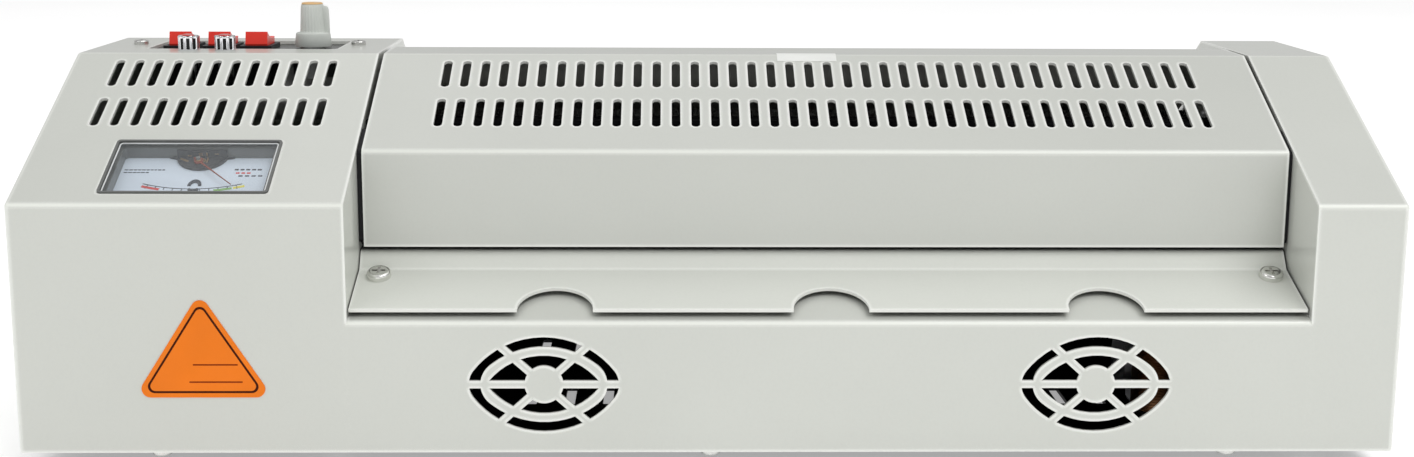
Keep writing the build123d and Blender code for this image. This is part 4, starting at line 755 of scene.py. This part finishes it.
def build_cover_label():
    """Blank label over the cover's upper fold: an outline in depth and height, drawn out along X."""
    fold = Vector((SLOPE_RUN, TOP_HEIGHT)) / MM
    climb = Vector((math.cos(SLOPE), math.sin(SLOPE)))
    low = fold - climb * (SLOPE_RUN / MM / math.cos(SLOPE) - COVER_LABEL_START)
    middle = fold + Vector((0.0, -FOLD_TANGENT * 0.12))
    line = [low, fold - climb * FOLD_TANGENT, middle,
            fold + Vector((FOLD_TANGENT, 0)), fold + Vector((COVER_LABEL_FLAT, 0))]
    slopes = [SLOPE, SLOPE, SLOPE / 2, 0.0, 0.0]
    outline = [(p.x, p.y) for p in line]
    outline += [(p.x - COVER_LABEL_THICK * math.sin(a), p.y + COVER_LABEL_THICK * math.cos(a))
                for p, a in zip(line[::-1], slopes[::-1])]
    label = bmesh.new()
    prism(label, outline, *COVER_LABEL_X)
    turn = Matrix(((0, 0, 1, 0), (1, 0, 0, 0), (0, 1, 0, 0), (0, 0, 0, 1)))
    add_piece("cover_label", label, "housing", "label_white", Matrix.Translation(at(0, 0, 0)) @ turn)


# ---------------------------------------------------------------- motor winding and springs

COIL_LOW, COIL_HIGH = 13.6, 36.4
COIL_TURNS = 38
COIL_SAMPLES = 4


def build_winding():
    """Copper wire wound round the core's front leg."""
    coil = bmesh.new()
    rows = []
    steps = COIL_TURNS * COIL_SAMPLES
    for i in range(steps + 1):
        height = COIL_LOW + (COIL_HIGH - COIL_LOW) * i / steps
        shrink = 0.05 + 0.26 * (1 - abs(math.sin(math.pi * i / COIL_SAMPLES)))
        outline = box_outline(156.5 + shrink, 192.5 - shrink, 4.0 + shrink, 20.8 - shrink, 4.6)
        rows.append([coil.verts.new((x, d, height)) for x, d in outline])
    inner = box_outline(164.4, 184.6, 9.9, 17.1, 0.4)
    rows.append([coil.verts.new((x, d, COIL_HIGH)) for x, d in inner])
    rows.append([coil.verts.new((x, d, COIL_LOW)) for x, d in inner])
    loft_rows(coil, rows, True)
    winding = add_piece("coil_winding", coil, "housing", "copper", level_matrix(0, 0, 0))
    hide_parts("motor_coil")


def build_springs():
    """The rollers' springs, copied from their CAD nodes in spring steel; they stay as modelled when the
    blocks lift.
    """
    for node, joint in (("hot_springs", "hot_upper_float"), ("pull_springs", "pull_upper_float")):
        piece = bpy.data.objects.new(node + "_coils", NODES[node].data.copy())
        bpy.context.scene.collection.objects.link(piece)
        piece.data.materials.clear()
        piece.data.materials.append(MATERIALS["spring_steel"])
        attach(piece, "housing")
        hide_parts(node)
        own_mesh(piece)


build_springs()
build_meter_print()
build_meter_works()
build_needle()
build_meter_line()
build_knob()
build_lamps()
build_labels()
build_winding()

# ---------------------------------------------------------------- floor and light

FLOOR_SIZE = 6.0
FLOOR_GLOW = 0.36
WORLD_POWER = 0.54
LIGHT_TARGET = (0, 0, 0.05)
# Name, place and size in metres, and power in watts.
LIGHTS = (
    ("key", (1.1, -1.15, 2.2), (2.2, 0.5), 22.0),
    ("fill", (-1.5, -1.0, 1.8), (1.0, 0.8), 4.5),
    ("top", (0.3, 0.5, 2.2), (2.6, 1.2), 9.0),
)


def studio():
    """Pale floor and soft lights."""
    mesh = bpy.data.meshes.new("floor")
    maker = bmesh.new()
    bmesh.ops.create_grid(maker, x_segments=1, y_segments=1, size=FLOOR_SIZE)
    maker.to_mesh(mesh)
    maker.free()
    floor = bpy.data.objects.new("floor", mesh)
    bpy.context.scene.collection.objects.link(floor)
    m = Nodes("floor_paper")
    m.set(Roughness=0.9, Specular_IOR_Level=0.1)
    m.set(Emission_Color=(1.0, 1.0, 1.0, 1.0), Emission_Strength=FLOOR_GLOW)
    tone = m.ramp(m.noise(3.0), (0.95, 0.95, 0.95), (0.97, 0.97, 0.97))
    floor.data.materials.append(m.finish(tone))
    world = bpy.data.worlds.new("studio")
    world.use_nodes = True
    sky = world.node_tree.nodes["Background"]
    sky.inputs["Color"].default_value = (1.0, 1.0, 1.0, 1)
    sky.inputs["Strength"].default_value = WORLD_POWER
    bpy.context.scene.world = world
    bpy.context.scene.view_settings.view_transform = "Standard"
    for name, place, size, power in LIGHTS:
        data = bpy.data.lights.new(name, "AREA")
        data.shape = "RECTANGLE"
        data.size, data.size_y = size
        data.energy = power
        light = bpy.data.objects.new(name, data)
        bpy.context.scene.collection.objects.link(light)
        light.location = place
        aim = Vector(LIGHT_TARGET) - light.location
        light.rotation_euler = aim.to_track_quat("-Z", "Y").to_euler()


studio()
